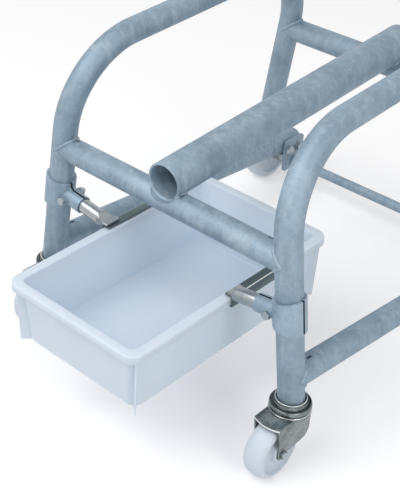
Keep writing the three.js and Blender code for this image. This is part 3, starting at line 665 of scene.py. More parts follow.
def hoop(name, radius, wall=None):
    """Bent side tube, an open skin unless it has a wall"""
    corner = SHOULDER_Z / math.cos(SPLAY)
    rise = (REAR_Y - FRONT_Y) * math.tan(SHOULDER_SLOPE) / math.cos(SPLAY)
    slope = math.atan2(rise, REAR_Y - FRONT_Y)
    span = math.hypot(rise, REAR_Y - FRONT_Y)
    first, second = math.pi / 2 - slope, math.pi / 2 + slope
    reach = [BEND * math.tan(a / 2) for a in (first, second)]
    normal = Y.cross(LEAN)
    foot = plane_point(FRONT_Y, (FOOT_Z - FOOT_SPARE) / math.cos(SPLAY))
    begin()
    bpy.ops.mesh.primitive_circle_add(vertices=64, radius=radius, location=foot, rotation=turn_to(LEAN))
    piece = current(name)
    bpy.ops.object.transform_apply(location=True, rotation=True, scale=True)
    edit_all(piece)
    here = plane_point(FRONT_Y, corner - reach[0])
    bpy.ops.mesh.extrude_region_move(TRANSFORM_OT_translate={"value": here - foot})
    bpy.ops.mesh.spin(steps=BEND_STEPS, angle=first, center=here + Y * BEND, axis=normal)
    heading = Y * math.cos(slope) + LEAN * math.sin(slope)
    run = heading * (span - reach[0] - reach[1])
    bpy.ops.mesh.extrude_region_move(TRANSFORM_OT_translate={"value": run})
    here = plane_point(FRONT_Y, corner) + heading * (span - reach[1])
    below = Y * math.sin(slope) - LEAN * math.cos(slope)
    bpy.ops.mesh.spin(steps=BEND_STEPS, angle=second, center=here + below * BEND, axis=normal)
    end = plane_point(REAR_Y, corner + rise - reach[1])
    drop = plane_point(REAR_Y, bottom_z(REAR_Y) / math.cos(SPLAY)) - end
    bpy.ops.mesh.extrude_region_move(TRANSFORM_OT_translate={"value": drop})
    bpy.ops.object.mode_set(mode="OBJECT")
    tidy_skin(piece)
    if wall:
        modify(piece, "SOLIDIFY", thickness=wall, offset=-1)
    return piece


def solid_hoop():
    """Tool for the notches at the ends of the cross tubes"""
    piece = hoop("tool", TUBE_RADIUS + SEAT)
    edit_all(piece)
    bpy.ops.mesh.select_all(action="DESELECT")
    bpy.ops.mesh.select_non_manifold()
    bpy.ops.mesh.edge_face_add()
    bpy.ops.object.mode_set(mode="OBJECT")
    return tidy_skin(piece)


def vents(places):
    """Slots that let zinc run into the tubes, each a place and half its length"""
    return [bar(at - half, at + half, VENT_RADIUS, sides=16) for at, half in places]


CROSS_END_VENTS = [
    (mm(197, -253.2, 381.7), mm(5, 0, 0)),
    (mm(-204, -258.4, 382.6), mm(4.5, 1, 0)),
]
SADDLE_VENTS = [(mm(31, -262, 382.6), mm(1.5, 4, 0))]
FLOOR_VENTS = [(mm(263.5, -219, 179.6), mm(0, 6, -0.6))]

side_hoop = hoop("hoop", TUBE_RADIUS, TUBE_WALL)
below_foot = block((0, FRONT_Y - PAST, 0), (OUTSIDE_X, FRONT_Y + PAST, FOOT_Z))
carved(side_hoop, below_foot, bottom_seat())
settle(eased(side_hoop, width=0.6 * MM))
fit_pair(side_hoop, "hoop_tube", STEEL, "frame", "galvanised_steel", "side_hoop")

bottom = tube("bottom", on_bottom(FRONT_Y), on_bottom(BOTTOM_REAR_Y), TUBE_RADIUS, TUBE_WALL)
carved(bottom, leg_seat(), *vents(FLOOR_VENTS))
settle(eased(bottom, width=0.7 * MM))
fit_pair(bottom, "floor_tube", STEEL, "frame", "galvanised_steel", "bottom_tube")

for end, y, z in CROSSES:
    cross = tube(end + "_cross", (-leg_x(z), y, z), (leg_x(z), y, z), TUBE_RADIUS, TUBE_WALL)
    right = solid_hoop()
    left = other_side(right, "tool")
    core = bar((-CORE_HALF, y, z), (CORE_HALF, y, z), TUBE_RADIUS - MM, sides=64)
    carved(cross, core, how="UNION")
    carved(cross, right, left, saddle())
    if end == "front":
        carved(cross, *vents(CROSS_END_VENTS + SADDLE_VENTS))
    settle(eased(cross, width=0.5 * MM))
    fit(cross, STEEL, "frame", "galvanised_steel", end + "_cross_tube")

nose, tail = on_socket(FRONT_Y - SOCKET_FRONT_REACH), on_socket(REAR_Y + SOCKET_REAR_REACH)
socket = tube("lever_sleeve", nose, tail, SOCKET_RADIUS, SOCKET_WALL, sides=96)
settle(eased(socket, width=1.1 * MM, segments=3))
fit(socket, STEEL, "frame", "galvanised_steel", "lever_socket")

bottom_way = (on_bottom(0) - on_bottom(PAST_LONG)).normalized()
bead = weld(on_bottom(FRONT_Y + PAST_LONG), bottom_way, on_leg(FRONT_Y, 0), LEAN)
carved(bead, *vents(FLOOR_VENTS))
fit_pair(bead, "floor_weld_front", WELD_STEEL, "frame", "galvanised_steel")
bead = weld(on_leg(REAR_Y, 2 * PAST_LONG), -LEAN, on_bottom(REAR_Y), bottom_way)
fit_pair(bead, "floor_weld_rear", WELD_STEEL, "frame", "galvanised_steel")
for end, y, z in CROSSES:
    bead = weld(Vector((PAST_LONG, y, z)), X, on_leg(y, z), LEAN)
    if end == "front":
        carved(bead, *vents(CROSS_END_VENTS[:1]))
    fit_pair(bead, "cross_weld_" + end, WELD_STEEL, "frame", "galvanised_steel")
    bead = saddle_weld(end, y, z)
    if end == "front":
        carved(bead, *vents(SADDLE_VENTS))
    fit(bead, WELD_STEEL, "frame", "galvanised_steel")

# Axle plates with their screws
AXLE_Y = 413.5 * MM
AXLE_Z = 62.5 * MM
AXLE_BORE = 10.3 * MM
PLATE_X = 248.8 * MM
PLATE_THICK = 5 * MM
PLATE_HALF_Y = 32 * MM
PLATE_CORNER = 9 * MM
PLATE_ABOVE_TUBE = 18 * MM
PLATE_BELOW_AXLE = 16.5 * MM
PLATE_FORWARD = 2.5 * MM
THROUGH_PLATE = (200 * MM, 300 * MM)
SCREW_SHIFTS = (("front", -22.5 * MM), ("rear", 9.5 * MM))
SCREW_DROP = 5 * MM
SCREW_RADIUS = 5 * MM
SCREW_DEPTH = 16 * MM
WASHER_THICK = 2 * MM


def on_axle(x):
    return Vector((x, AXLE_Y, AXLE_Z))


plate_top, plate_low = bottom_z(AXLE_Y) + PLATE_ABOVE_TUBE, AXLE_Z - PLATE_BELOW_AXLE
plate_mid = Vector((0, AXLE_Y - PLATE_FORWARD, (plate_top + plate_low) / 2))
outline = rounded_plate(PLATE_HALF_Y, (plate_top - plate_low) / 2, PLATE_CORNER)
plate_faces = (PLATE_X - PLATE_THICK, PLATE_X)
plate = skinned("plate", [[plate_mid + Vector((x, y, z)) for y, z in outline] for x in plate_faces])
carved(plate, bar(on_axle(THROUGH_PLATE[0]), on_axle(THROUGH_PLATE[1]), AXLE_BORE))
settle(eased(plate, width=0.8 * MM))
fit_pair(plate, "axle_bracket", STEEL, "frame", "galvanised_steel", "axle_plate")

for place, shift in SCREW_SHIFTS:
    y = AXLE_Y + shift
    face = Vector((PLATE_X - PLATE_THICK - SEAT, y, bottom_z(y) - SCREW_DROP))
    washer_face = face - X * WASHER_THICK
    washer = turned("washer", ring_profile(5.2 * MM, 10 * MM, WASHER_THICK), face, -X, steps=48)
    screw = joined(
        settle(eased(washer, width=0.3 * MM)),
        hex_piece("head", across=17 * MM, height=6.4 * MM, at=washer_face, way=-X, dome=0.2 * MM),
        eased(bar(washer_face, face + X * SCREW_DEPTH, SCREW_RADIUS, sides=32), width=0.6 * MM),
    )
    fit_pair(settle(screw), "bracket_screw_" + place, SCREW, "frame", "zinc_plate", "axle_screw_" + place)

# Rear axle and its wheels
AXLE_RADIUS = 10 * MM
AXLE_END = 351.3 * MM
PIN_X = 345.3 * MM
PIN_HOLE = 2.3 * MM
PIN_PROFILE = [
    (0, -17), (1.2, -17), (2, -15.8), (2, 16.9), (4.2, 17), (4.5, 17.5), (4.5, 19), (3.6, 19.9), (0, 20),
]
SPACER = (249.1 * MM, 293.7 * MM)
AXLE_WASHER = (336.3 * MM, 339.3 * MM)
REAR_WHEEL_X = 315 * MM
TREAD_STEPS = 14
TREAD_CURVE = 3.2


def axle_ring(ends, radius, soft):
    start, end = ends
    ring = turned("ring", ring_profile(AXLE_BORE, radius, end - start), on_axle(start), X)
    return settle(eased(ring, width=soft))


def wheel_profile(radius, half, bore, hub, hub_half, web, rim, shoulder):
    """Half section of a moulded wheel from its bore to the middle of the tread"""
    points = [(bore, hub_half), (hub, hub_half), (hub + 1.2 * MM, web), (rim - 1.5 * MM, web), (rim, half)]
    points = rounded(points, 2.2 * MM, steps=5)
    for i in range(1, TREAD_STEPS + 1):
        t = 1 - i / TREAD_STEPS
        points.append((radius - shoulder * t**TREAD_CURVE, half * t))
    return points


def wheel(name, at, **size):
    right = wheel_profile(**size)
    left = [(r, -h) for r, h in reversed(right[:-1])]
    profile = right + left + [right[0]]
    return turned(name, profile, at, X, steps=96)


axle = bar(on_axle(-AXLE_END), on_axle(AXLE_END), AXLE_RADIUS, sides=64, name="axle_rod")
eased(axle, width=1.5 * MM, angle=60)
for x in (-PIN_X, PIN_X):
    hole = on_axle(x)
    carved(axle, bar(hole - Z * 2 * PAST_SHORT, hole + Z * 2 * PAST_SHORT, PIN_HOLE, sides=24))
fit(settle(axle), STEEL, "frame", "galvanised_steel", "rear_axle")

spacer = axle_ring(SPACER, radius=13.4 * MM, soft=0.8 * MM)
fit_pair(spacer, "axle_sleeve", SCREW, "frame", "zinc_plate", "axle_spacer")
disc = axle_ring(AXLE_WASHER, radius=18.5 * MM, soft=0.6 * MM)
fit_pair(disc, "axle_disc", SCREW, "frame", "zinc_plate", "axle_washer")
pin = turned("pin", in_metres(PIN_PROFILE), on_axle(PIN_X), Z, steps=32)
fit_pair(pin, "axle_split_pin", SCREW, "frame", "zinc_plate", "axle_pin")

rear_wheel = wheel(
    "rear", on_axle(REAR_WHEEL_X), radius=62.5 * MM, half=19 * MM, bore=10.1 * MM,
    hub=21 * MM, hub_half=21 * MM, web=12 * MM, rim=48 * MM, shoulder=7 * MM,
)
fit_pair(rear_wheel, "axle_wheel", NYLON, "rear_wheel_{}", "wheel_nylon", "rear_wheel")

# Castor cups, profiles in millimetres
CASTOR_AT = Vector((leg_x(FOOT_Z), FRONT_Y, 0))
CUP_PROFILE = [
    (6.3, 120), (25.9, 120), (31, 116.5), (31, 112.5), (33.5, 112.5), (33.5, 119.2), (32, 121.8),
    (29.4, 122.4), (27.2, 121.8), (25.5, 125), (25.3, 130.2), (23.4, 130.2), (22.8, 127.7),
    (6.3, 127.7), (6.3, 120),
]
CUP_LIP = 129.6 * MM

cup = turned("cup", rounded(in_metres(CUP_PROFILE), 1.1 * MM, steps=3), CASTOR_AT, Z, steps=96)
fit_pair(cup, "castor_top_cup", CUP, "frame", "zinc_plate", "castor_cup")
# Painted highlight on the cup's top lip
touch_up("castor_top_cup", PAINTED_EDGE_HIGHLIGHT, lambda at: at.z > CUP_LIP)

# Castor forks
CROWN_TOP = 108.4 * MM
CROWN_SHEET = 3 * MM
CROWN_LOW = CROWN_TOP - CROWN_SHEET
CROWN_RADIUS = 34 * MM
CROWN_RIM = [(31.8, 106.9), (34, 106.9), (34, 111.9), (31.8, 111.9), (31.8, 106.9)]
ABOVE_CROWN = CROWN_TOP + 4 * MM
CHEEK = 24.5 * MM
CHEEK_FRONT = 56 * MM
CHEEK_REAR = 31 * MM
SHEET = 2.5 * MM
INSIDE_FRONT = 12 * MM
INSIDE_LOW = -6 * MM
BOW = 6 * MM
BOW_HALF_STEPS = 6
DRAW_DEPTH = 38 * MM
DRAW_STEPS = 10
CROWN_STEPS = 56
KING_PIN_HOLE = 6.1 * MM
WHEEL_RADIUS = 50 * MM
WHEEL_AT = CASTOR_AT + Vector((0, -40 * MM, 50 * MM))
FRONT_EDGE = FRONT_Y - CHEEK_FRONT
REAR_EDGE = FRONT_Y + 34.5 * MM

# Lower edge of a cheek, from the wheel's middle in wheel radii
CHEEK_SHARES = (
    (-0.24, 0.4), (-0.22, -0.04), (-0.14, -0.13), (0, -0.17), (0.13, -0.11), (0.2, 0.01),
    (0.38, 0.04), (0.78, 0.05), (1.05, 0.1), (1.2, 0.25), (1.3, 0.48), (1.36, 0.75),
)


def fork_ring(z, inset, drawn):
    """Ring round the fork, from a round crown to flat cheeks as it is drawn in"""
    radius = CROWN_RADIUS - inset
    side = CHEEK - inset
    front = CHEEK_FRONT + (INSIDE_FRONT if inset else 0)
    start = -math.acos(side / radius)
    turn = math.pi - 2 * start
    ring = [CASTOR_AT + Vector((side, -front, z))]
    for i in range(CROWN_STEPS + 1):
        angle = start + turn * i / CROWN_STEPS
        x, y = radius * math.cos(angle), radius * math.sin(angle)
        flat_x = max(-side, min(side, x))
        flat_y = min(y, CHEEK_REAR - inset)
        ring.append(CASTOR_AT + Vector((x + (flat_x - x) * drawn, y + (flat_y - y) * drawn, z)))
    for i in range(2 * BOW_HALF_STEPS + 1):
        wide = i / BOW_HALF_STEPS - 1
        ring.append(CASTOR_AT + Vector((wide * side, -front - BOW * (1 - wide**2), z)))
    return ring


def fork_body(inset):
    """Solid form of the fork, or with an inset the space inside its sheet"""
    rings = [fork_ring(CROWN_LOW if inset else CROWN_TOP, inset, 0)]
    if not inset:
        rings.append(fork_ring(CROWN_LOW, inset, 0))
    for i in range(1, DRAW_STEPS + 1):
        depth = i / DRAW_STEPS
        rings.append(fork_ring(CROWN_LOW - DRAW_DEPTH * depth, inset, 1 - (1 - depth) ** 2))
    rings.append(fork_ring(INSIDE_LOW if inset else 0, inset, 1))
    return skinned("fork", rings)


# Faces that take the painted highlight: the crown's raised rim and its front edge
def crown_edge(at):
    return at.z > CROWN_TOP + 2.7 * MM or (at.z > CROWN_TOP - 2.9 * MM and at.y < FRONT_EDGE + 0.8 * MM)


lower = soft_line([(WHEEL_AT.y + y * WHEEL_RADIUS, WHEEL_AT.z + z * WHEEL_RADIUS) for y, z in CHEEK_SHARES])
side_line = [(FRONT_EDGE - BOW, ABOVE_CROWN), (FRONT_EDGE - BOW, CROWN_LOW)]
side_line += [(FRONT_EDGE, CROWN_LOW), (FRONT_EDGE, CROWN_TOP - 6.5 * MM)]
side_line += [tuple(p) for p in lower] + [(REAR_EDGE, CROWN_LOW), (REAR_EDGE, ABOVE_CROWN)]
outlines = [[Vector((CASTOR_AT.x + x * MM, y, z)) for y, z in side_line] for x in (-60, 60)]
open_rear = block(CASTOR_AT + mm(-16, 0, 0), CASTOR_AT + mm(16, 68, 91.4))
fork = carved(fork_body(0), fork_body(SHEET), open_rear)
carved(fork, skinned("tool", outlines), how="INTERSECT")
crown_rim = turned("tool", rounded(in_metres(CROWN_RIM), 0.9 * MM, steps=3), CASTOR_AT, Z, steps=96)
carved(fork, crown_rim, how="UNION")
carved(
    fork,
    bar(WHEEL_AT - X * PAST, WHEEL_AT + X * PAST, BOLT_HOLE, sides=32),
    bar(CASTOR_AT + mm(0, 0, 90), CASTOR_AT + mm(0, 0, 120), KING_PIN_HOLE, sides=32),
)
settle(eased(tidy_skin(fork), width=0.5 * MM, angle=45), smooth=30)
fit_pair(fork, "castor_yoke", CASTOR, "castor_fork_{}", "zinc_plate", "castor_fork")
# Painted highlight on the crown's rim and front edge
touch_up("castor_yoke", PAINTED_EDGE_HIGHLIGHT, crown_edge)

# Castor wheels with their bolts and nuts
castor_wheel = wheel(
    "castor", WHEEL_AT, radius=WHEEL_RADIUS, half=19 * MM, bore=4.1 * MM,
    hub=16 * MM, hub_half=21 * MM, web=13 * MM, rim=39 * MM, shoulder=7 * MM,
)
fit_pair(castor_wheel, "castor_roller", NYLON, "castor_wheel_{}", "wheel_nylon", "castor_wheel")
bolt_face = CHEEK + SEAT
shank = bar(WHEEL_AT - X * (bolt_face + 8 * MM), WHEEL_AT + X * (bolt_face + 3 * MM), BOLT_RADIUS, sides=32)
castor_bolt = joined(
    hex_piece("head", across=13 * MM, height=5 * MM, at=WHEEL_AT + X * bolt_face, way=X, dome=0.2 * MM),
    eased(shank, width=0.7 * MM, angle=60),
)
fit_pair(settle(castor_bolt), "wheel_bolt", SCREW, "castor_fork_{}", "zinc_plate", "castor_axle_bolt")
castor_nut = hex_piece("nut", across=13 * MM, height=5 * MM, at=WHEEL_AT - X * bolt_face, way=-X)
carved(castor_nut, bar(WHEEL_AT - X * (PAST + PAST_SHORT), WHEEL_AT, BOLT_HOLE, sides=32))
fit_pair(settle(castor_nut), "wheel_nut", SCREW, "castor_fork_{}", "zinc_plate", "castor_axle_nut")

# Clamps, places in millimetres in their own frame on the leg
ONTO_LEG = Matrix.Translation(on_leg(FRONT_Y, 286 * MM)) @ Matrix.Rotation(-SPLAY, 4, "Y")
CLAMP_RADIUS, CLAMP_BORE = 26 * MM, 21.5 * MM
CLAMP_REACH = 58
SLEEVE_RADIUS, SLEEVE_BORE = 15.2 * MM, 12.8 * MM
SLEEVE_Z = -11
SLEEVE_START, SLEEVE_END = -30.5, -58
BOSS_RADIUS, BOSS_HALF = 8 * MM, 20
BOLT_X = -26.5
PAST_CLAMP = 6
CLEAR = 90
SLIT_HALF = 1.7
CLAMP_WEB = [(0, -11), (0, 9), (-26, 9), (-45, -11)]
CLAMP_TOP, CLAMP_LOW = 18, -31.75
CLAMP_TOP_SLOPE, CLAMP_LOW_SLOPE = math.atan2(9, 64), math.atan2(-11.5, 64)


def onto_leg(piece):
    piece.data.transform(ONTO_LEG)
    return piece


def along_sleeve(start, end, radius):
    return bar(mm(start, 0, SLEEVE_Z), mm(end, 0, SLEEVE_Z), radius, sides=64)


def along_bolt(start, end, radius, sides=32):
    return bar(mm(BOLT_X, start, SLEEVE_Z), mm(BOLT_X, end, SLEEVE_Z), radius, sides)


def slice_off(height, normal):
    """What lies beyond a plane cut off the piece being edited"""
    bpy.ops.mesh.select_all(action="SELECT")
    bpy.ops.mesh.bisect(plane_co=mm(0, 0, height), plane_no=normal, use_fill=True, clear_outer=True)


def clamp_half(low_y, high_y):
    """Half of a clamp, left after the slab between two depths is cut away"""
    ring = bar(mm(0, 0, -CLAMP_REACH), mm(0, 0, CLAMP_REACH), CLAMP_RADIUS, sides=96, name="clamp")
    edit_all(ring)
    slice_off(CLAMP_TOP, (-math.sin(CLAMP_TOP_SLOPE), 0, math.cos(CLAMP_TOP_SLOPE)))
    slice_off(CLAMP_LOW, (math.sin(CLAMP_LOW_SLOPE), 0, -math.cos(CLAMP_LOW_SLOPE)))
    bpy.ops.object.mode_set(mode="OBJECT")
    web = skinned("tool", [[mm(x, y, z) for x, z in CLAMP_WEB] for y in (-6, 6)])
    sleeve = along_sleeve(0, SLEEVE_END, SLEEVE_RADIUS)
    boss = along_bolt(-BOSS_HALF, BOSS_HALF, BOSS_RADIUS, sides=48)
    carved(ring, sleeve, web, boss, how="UNION")
    past = CLAMP_REACH + PAST_CLAMP
    carved(
        ring,
        bar(mm(0, 0, -past), mm(0, 0, past), CLAMP_BORE, sides=96),
        along_sleeve(SLEEVE_START, SLEEVE_END - PAST_CLAMP, SLEEVE_BORE),
        along_bolt(-BOSS_HALF - PAST_CLAMP, BOSS_HALF + PAST_CLAMP, BOLT_HOLE),
        block(mm(-CLEAR, low_y, -CLEAR), mm(CLEAR, high_y, CLEAR)),
    )
    return settle(eased(tidy_skin(onto_leg(ring)), width=0.9 * MM, segments=3, angle=30), smooth=40)


front_half = clamp_half(-SLIT_HALF, CLEAR)
fit_pair(front_half, "pipe_clamp_front", CLAMP_STEEL, "clamp_{}", "galvanised_steel", "clamp_front")
rear_half = clamp_half(-CLEAR, SLIT_HALF)
fit_pair(rear_half, "pipe_clamp_rear", CLAMP_STEEL, "clamp_{}", "galvanised_steel", "clamp_rear")
for half in ("pipe_clamp_front", "pipe_clamp_rear"):
    # Faces inside the clamp slit take the painted shade
    touch_up(half, SLIT_PAINTED_SHADE, lambda at: abs(at.y - FRONT_Y) < (SLIT_HALF + 0.2) * MM)
head_at, nut_at = mm(BOLT_X, -20.3, SLEEVE_Z), mm(BOLT_X, 20.3, SLEEVE_Z)
clamp_bolt = joined(
    hex_piece("head", across=13 * MM, height=5.5 * MM, at=head_at, way=-Y, dome=0.3 * MM),
    eased(along_bolt(-22, 30.8, BOLT_RADIUS), width=0.8 * MM, angle=60),
)
fit_pair(settle(onto_leg(clamp_bolt)), "clamping_bolt", SCREW, "clamp_{}", "zinc_plate", "clamp_bolt")
clamp_nut = hex_piece("nut", across=13 * MM, height=6.5 * MM, at=nut_at, way=Y)
carved(clamp_nut, along_bolt(0, 60, BOLT_HOLE))
fit_pair(settle(onto_leg(clamp_nut)), "clamping_nut", SCREW, "clamp_{}", "zinc_plate", "clamp_nut")

# Arms and rails, places in millimetres
RAIL_TOP, RAIL_LOW = 252.0, 232
RAIL_INNER, RAIL_WEB, RAIL_SHEET = 126, 142, 2
RAIL_ENDS = (-262, -109)
ARM_SIDES = 64
ARM_HALF = 12.5
ARM_BORE = 10.5 * MM
ARM_BORE_ENDS = (-20, -94.5)
ARM_START, ARM_ROUND_END, ARM_FLAT_X = 35, 98, 139
TONGUE_X, TONGUE_Y = 131, FRONT_Y / MM + 12
TONGUE_HALF_Y, TONGUE_HALF_Z = 15, 2.5
TONGUE_Z = RAIL_TOP + 0.3 + TONGUE_HALF_Z
PRESS_STEPS = 8


def arm_section(half_width, half_height, square):
    """Oval that nears a rectangle as square rises"""
    power = 2 / (2 + square)
    places = []
    for i in range(ARM_SIDES):
        angle = math.tau * i / ARM_SIDES
        c, s = math.cos(angle), math.sin(angle)
        across = half_width * math.copysign(abs(c) ** power, c)
        places.append((across, half_height * math.copysign(abs(s) ** power, s)))
    return places


def arm():
    """Tube whose inner end is pressed to a tongue on the rail"""
    rings = []
    for x in (ARM_START, ARM_ROUND_END):
        rings.append([ONTO_LEG @ mm(-x, y, SLEEVE_Z + z) for y, z in arm_section(ARM_HALF, ARM_HALF, 0)])
    start = (ONTO_LEG @ mm(-ARM_ROUND_END, 0, SLEEVE_Z)) / MM
    for i in range(1, PRESS_STEPS + 1):
        t = i / PRESS_STEPS
        ease = (t * t * (3 - 2 * t)) ** 1.3
        half_width = ARM_HALF + (TONGUE_HALF_Y - ARM_HALF) * ease
        half_height = ARM_HALF - (ARM_HALF - TONGUE_HALF_Z) * ease
        x = start.x + (ARM_FLAT_X - start.x) * t
        y = start.y + (TONGUE_Y - start.y) * ease
        z = start.z + (TONGUE_Z - start.z) * ease
        rings.append([mm(x, y + a, z + b) for a, b in arm_section(half_width, half_height, ease * 2)])
    tongue = arm_section(TONGUE_HALF_Y, TONGUE_HALF_Z, 3)
    rings.append([mm(TONGUE_X, TONGUE_Y + a, TONGUE_Z + b) for a, b in tongue])
    piece = skinned("arm", rings)
    bore_start, bore_end = [ONTO_LEG @ mm(x, 0, SLEEVE_Z) for x in ARM_BORE_ENDS]
    carved(piece, bar(bore_start, bore_end, ARM_BORE))
    return settle(eased(piece, width=0.6 * MM, angle=50), smooth=50)


fit_pair(arm(), "tray_arm", ZINC, "tray_carrier", "zinc_plate", "arm_tube")

RAIL_SECTION = [
    (RAIL_INNER, RAIL_LOW), (RAIL_WEB, RAIL_LOW), (RAIL_WEB, RAIL_TOP), (RAIL_INNER, RAIL_TOP),
    (RAIL_INNER, RAIL_TOP - RAIL_SHEET),
    (RAIL_WEB - RAIL_SHEET, RAIL_TOP - RAIL_SHEET),
    (RAIL_WEB - RAIL_SHEET, RAIL_LOW + RAIL_SHEET),
    (RAIL_INNER, RAIL_LOW + RAIL_SHEET),
]


# Faces that take the painted highlight along the rail's rounded top bend
def rail_bend(at):
    return abs(at.x) > (RAIL_WEB - 1) * MM and at.z > (RAIL_TOP - 1) * MM


rail = skinned("rail", [[mm(x, y, z) for x, z in RAIL_SECTION] for y in RAIL_ENDS])
settle(eased(rail, width=0.9 * MM, segments=3), smooth=40)
# The rail takes the painted dark reflection
fit_pair(rail, "channel_rail", RAIL_PAINTED_DARK, "tray_carrier", "zinc_plate", "tray_rail")
# Painted highlight along the rail's top bend
touch_up("channel_rail", PAINTED_EDGE_HIGHLIGHT, rail_bend)

# Tray, in millimetres
TRAY_Y = -242.5
TRAY_HALF_X, TRAY_HALF_Y = 139.0, 233.5
RIM_Z, FLOOR_Z = 248.3, 128.5
RIM_CORNER = 22
WALL_INSET, WALL_CORNER = 14, 14
TAPER_X, TAPER_Y, CORNER_TAPER = 3.5, 10, 4
TRAY_WALL = 3
OUTER_BEND, INNER_BEND = 6, 4
WALL_BEND_STEPS = 6

# Drop below the rim and shift inwards, on the outside and then on the inside
RIM_ROOT = ((6, 0), (4, -0.3), (3, -1.6))
RIM_LIP = ((0, 1.2), (0.35, 2.3), (1.4, 3.0))

# Inset from the rim's outer edge and height, up and over the rim
RIM_LINE = (
    (3.4, 245.3), (2.6, 244.6), (2.6, 234.9), (2.1, 234.3), (0.5, 234.3), (0, 234.9), (0, 245.9),
    (0.35, 247.2), (1.1, 248.0), (2.4, 248.3),
)
FIN_LINE = ((26.5, 246.5), (40, 246.5), (36, 128.5), (16.6, 128.5))
FIN_HALF = 1.5


def tray_ring(inset_x, inset_y, corner, z):
    places = rounded_plate(TRAY_HALF_X - inset_x, TRAY_HALF_Y - inset_y, max(corner, 0.5), steps=10)
    return [mm(x, TRAY_Y + y, z) for x, y in places]


def wall_ring(z, inwards):
    """Ring on the tray wall at a height, moved inwards"""
    drop = 1 - (z - FLOOR_Z) / (RIM_Z - FLOOR_Z)
    inset_x = WALL_INSET + TAPER_X * drop + inwards
    inset_y = WALL_INSET + TAPER_Y * drop + inwards
    return tray_ring(inset_x, inset_y, WALL_CORNER + CORNER_TAPER * drop - inwards * 0.6, z)


def floor_bend(radius, z, inwards):
    """Rings from the floor up round the bend into the wall"""
    rings = []
    for k in range(WALL_BEND_STEPS + 1):
        angle = math.pi / 2 * k / WALL_BEND_STEPS
        rise, shift = radius * (1 - math.cos(angle)), radius * (1 - math.sin(angle))
        rings.append(wall_ring(z + rise, inwards + shift))
    return rings


rings = floor_bend(OUTER_BEND, FLOOR_Z, 0)
rings += [wall_ring(RIM_Z - drop, inwards) for drop, inwards in RIM_ROOT]
rings += [tray_ring(inset, inset, RIM_CORNER - inset, z) for inset, z in RIM_LINE]
rings += [wall_ring(RIM_Z - drop, inwards) for drop, inwards in RIM_LIP]
rings += reversed(floor_bend(INNER_BEND, FLOOR_Z + TRAY_WALL, TRAY_WALL))
tray = skinned("tray", rings)
floor_corner = WALL_CORNER + CORNER_TAPER
root_x = TRAY_HALF_X - WALL_INSET - TAPER_X - floor_corner
root_y = TRAY_HALF_Y - WALL_INSET - TAPER_Y - floor_corner
for side_x, side_y in ((1, 1), (1, -1), (-1, 1), (-1, -1)):
    out = Vector((side_x, side_y, 0)).normalized()
    across = out.cross(Z)
    root = mm(side_x * root_x, TRAY_Y + side_y * root_y, 0)
    faces = []
    for depth in (-FIN_HALF, FIN_HALF):
        faces.append([root + out * r * MM + Z * z * MM + across * depth * MM for r, z in FIN_LINE])
    carved(tray, eased(skinned("fin", faces), width=0.5 * MM), how="UNION")
fit(settle(tidy_skin(tray), smooth=40), TRAY, "tray", "tray_plastic", "drip_tray")

# Hidden pieces that keep the part's own shape
for name, material in (("leg_plug", STEEL), ("castor_race", SCREW), ("castor_kingpin", SCREW)):
    for side in ("right", "left"):
        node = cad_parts[name + "_" + side]
        node.data.materials.clear()
        node.data.materials.append(material)

# Floor and sky
WHITE = (1, 1, 1, 1)
FLOOR_COLOUR = (0.8, 0.8, 0.81)
FLOOR_GLOW = 0.31
SKY_LIGHT, SKY_SEEN = 0.55, 1.0


def seen_rays(tree):
    """One for what the camera sees, straight, mirrored or through something, and zero for light"""
    path = tree.nodes.new("ShaderNodeLightPath")
    seen = path.outputs["Is Camera Ray"]
    for name in ("Is Glossy Ray", "Is Transmission Ray"):
        most = tree.nodes.new("ShaderNodeMath")
        most.operation = "MAXIMUM"
        tree.links.new(seen, most.inputs[0])
        tree.links.new(path.outputs[name], most.inputs[1])
        seen = most.outputs[0]
    return seen


def staged(name, colour, glow):
    """Matt surface that looks white where light falls freely on it"""
    f = Finish(name, Roughness=1.0, Specular_IOR_Level=0.0)
    f.colour(colour)
    shine = f.node("ShaderNodeEmission", {}, {"Color": WHITE, "Strength": glow})
    both = f.tree.nodes.new("ShaderNodeAddShader")
    f.tree.links.new(f.shader.outputs[0], both.inputs[0])
    f.tree.links.new(shine.socket, both.inputs[1])
    choice = f.tree.nodes.new("ShaderNodeMixShader")
    f.tree.links.new(seen_rays(f.tree), choice.inputs[0])
    f.tree.links.new(f.shader.outputs[0], choice.inputs[1])
    f.tree.links.new(both.outputs[0], choice.inputs[2])
    f.tree.links.new(choice.outputs[0], f.out.inputs["Surface"])
    return f.material


begin()
bpy.ops.mesh.primitive_plane_add(size=60, location=(0, 0, 0))
floor = current("studio_floor")
floor.data.materials.append(staged("studio floor", FLOOR_COLOUR, FLOOR_GLOW))

world = bpy.data.worlds.new("studio")
bpy.context.scene.world = world
world.use_nodes = True
tree = world.node_tree
tree.nodes.clear()
strength = tree.nodes.new("ShaderNodeMapRange")
strength.inputs["To Min"].default_value = SKY_LIGHT
strength.inputs["To Max"].default_value = SKY_SEEN
tree.links.new(seen_rays(tree), strength.inputs["Value"])
sky = tree.nodes.new("ShaderNodeBackground")
tree.links.new(strength.outputs[0], sky.inputs["Strength"])
sky.inputs["Color"].default_value = WHITE
out = tree.nodes.new("ShaderNodeOutputWorld")
tree.links.new(sky.outputs[0], out.inputs["Surface"])

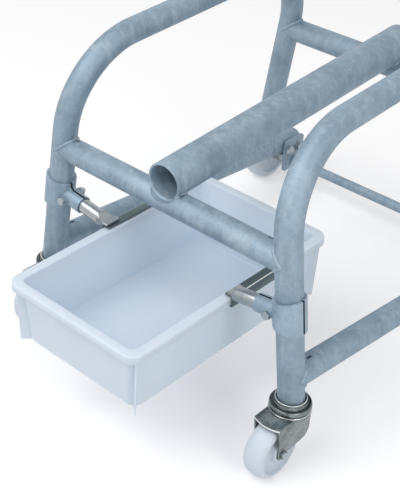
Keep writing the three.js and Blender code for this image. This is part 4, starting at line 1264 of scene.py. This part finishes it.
# Lamps
LAMP_AIM = Vector((0, 0, 0.25))


def lamp(name, place, size, power):
    data = bpy.data.lights.new(name, "AREA")
    data.shape = "RECTANGLE"
    data.size, data.size_y = size
    data.energy = power
    light = bpy.data.objects.new(name, data)
    light.location = place
    light.rotation_euler = turn_to(Vector(place) - LAMP_AIM)
    bpy.context.scene.collection.objects.link(light)


lamp("key_light", place=(-0.7, -1.9, 2.9), size=(2.6, 2.0), power=56)
lamp("side_light", place=(2.6, -0.9, 1.7), size=(0.9, 1.8), power=20)

# Camera at the photograph's place and angle
AZIMUTH, ELEVATION = math.radians(44.19), math.radians(34.94)
ROLL, TILT = math.radians(0.95), math.radians(-0.2558)
CAMERA_AT = (1.0133, -1.3953, 1.3096)
FOCAL, CENTRE_X, CENTRE_Y = 1159.43, 122.7, 264.5
PHOTO_WIDTH, PHOTO_HEIGHT = 400, 500
SENSOR = 36

ahead = Vector((
    -math.sin(AZIMUTH) * math.cos(ELEVATION),
    math.cos(AZIMUTH) * math.cos(ELEVATION),
    -math.sin(ELEVATION),
))
right = Vector((math.cos(AZIMUTH), math.sin(AZIMUTH), 0))
above = right.cross(ahead)
across = right * math.cos(ROLL) + above * math.sin(ROLL)
upright = above * math.cos(ROLL) - right * math.sin(ROLL)
turn = Matrix.Rotation(TILT, 3, "X")
axes = [turn @ across, turn @ upright, -(turn @ ahead)]
view = Matrix([[axis[i] for axis in axes] for i in range(3)]).to_4x4()
view.translation = CAMERA_AT
camera_data = bpy.data.cameras.new("photo_camera")
camera_data.sensor_width = SENSOR
camera_data.lens = FOCAL / PHOTO_HEIGHT * SENSOR
camera_data.shift_x = (PHOTO_WIDTH / 2 - CENTRE_X) / PHOTO_HEIGHT
camera_data.shift_y = (CENTRE_Y - PHOTO_HEIGHT / 2) / PHOTO_HEIGHT
camera = bpy.data.objects.new("photo_camera", camera_data)
camera.matrix_world = view
bpy.context.scene.collection.objects.link(camera)
bpy.context.scene.camera = camera
bpy.context.scene.view_settings.view_transform = "Standard"
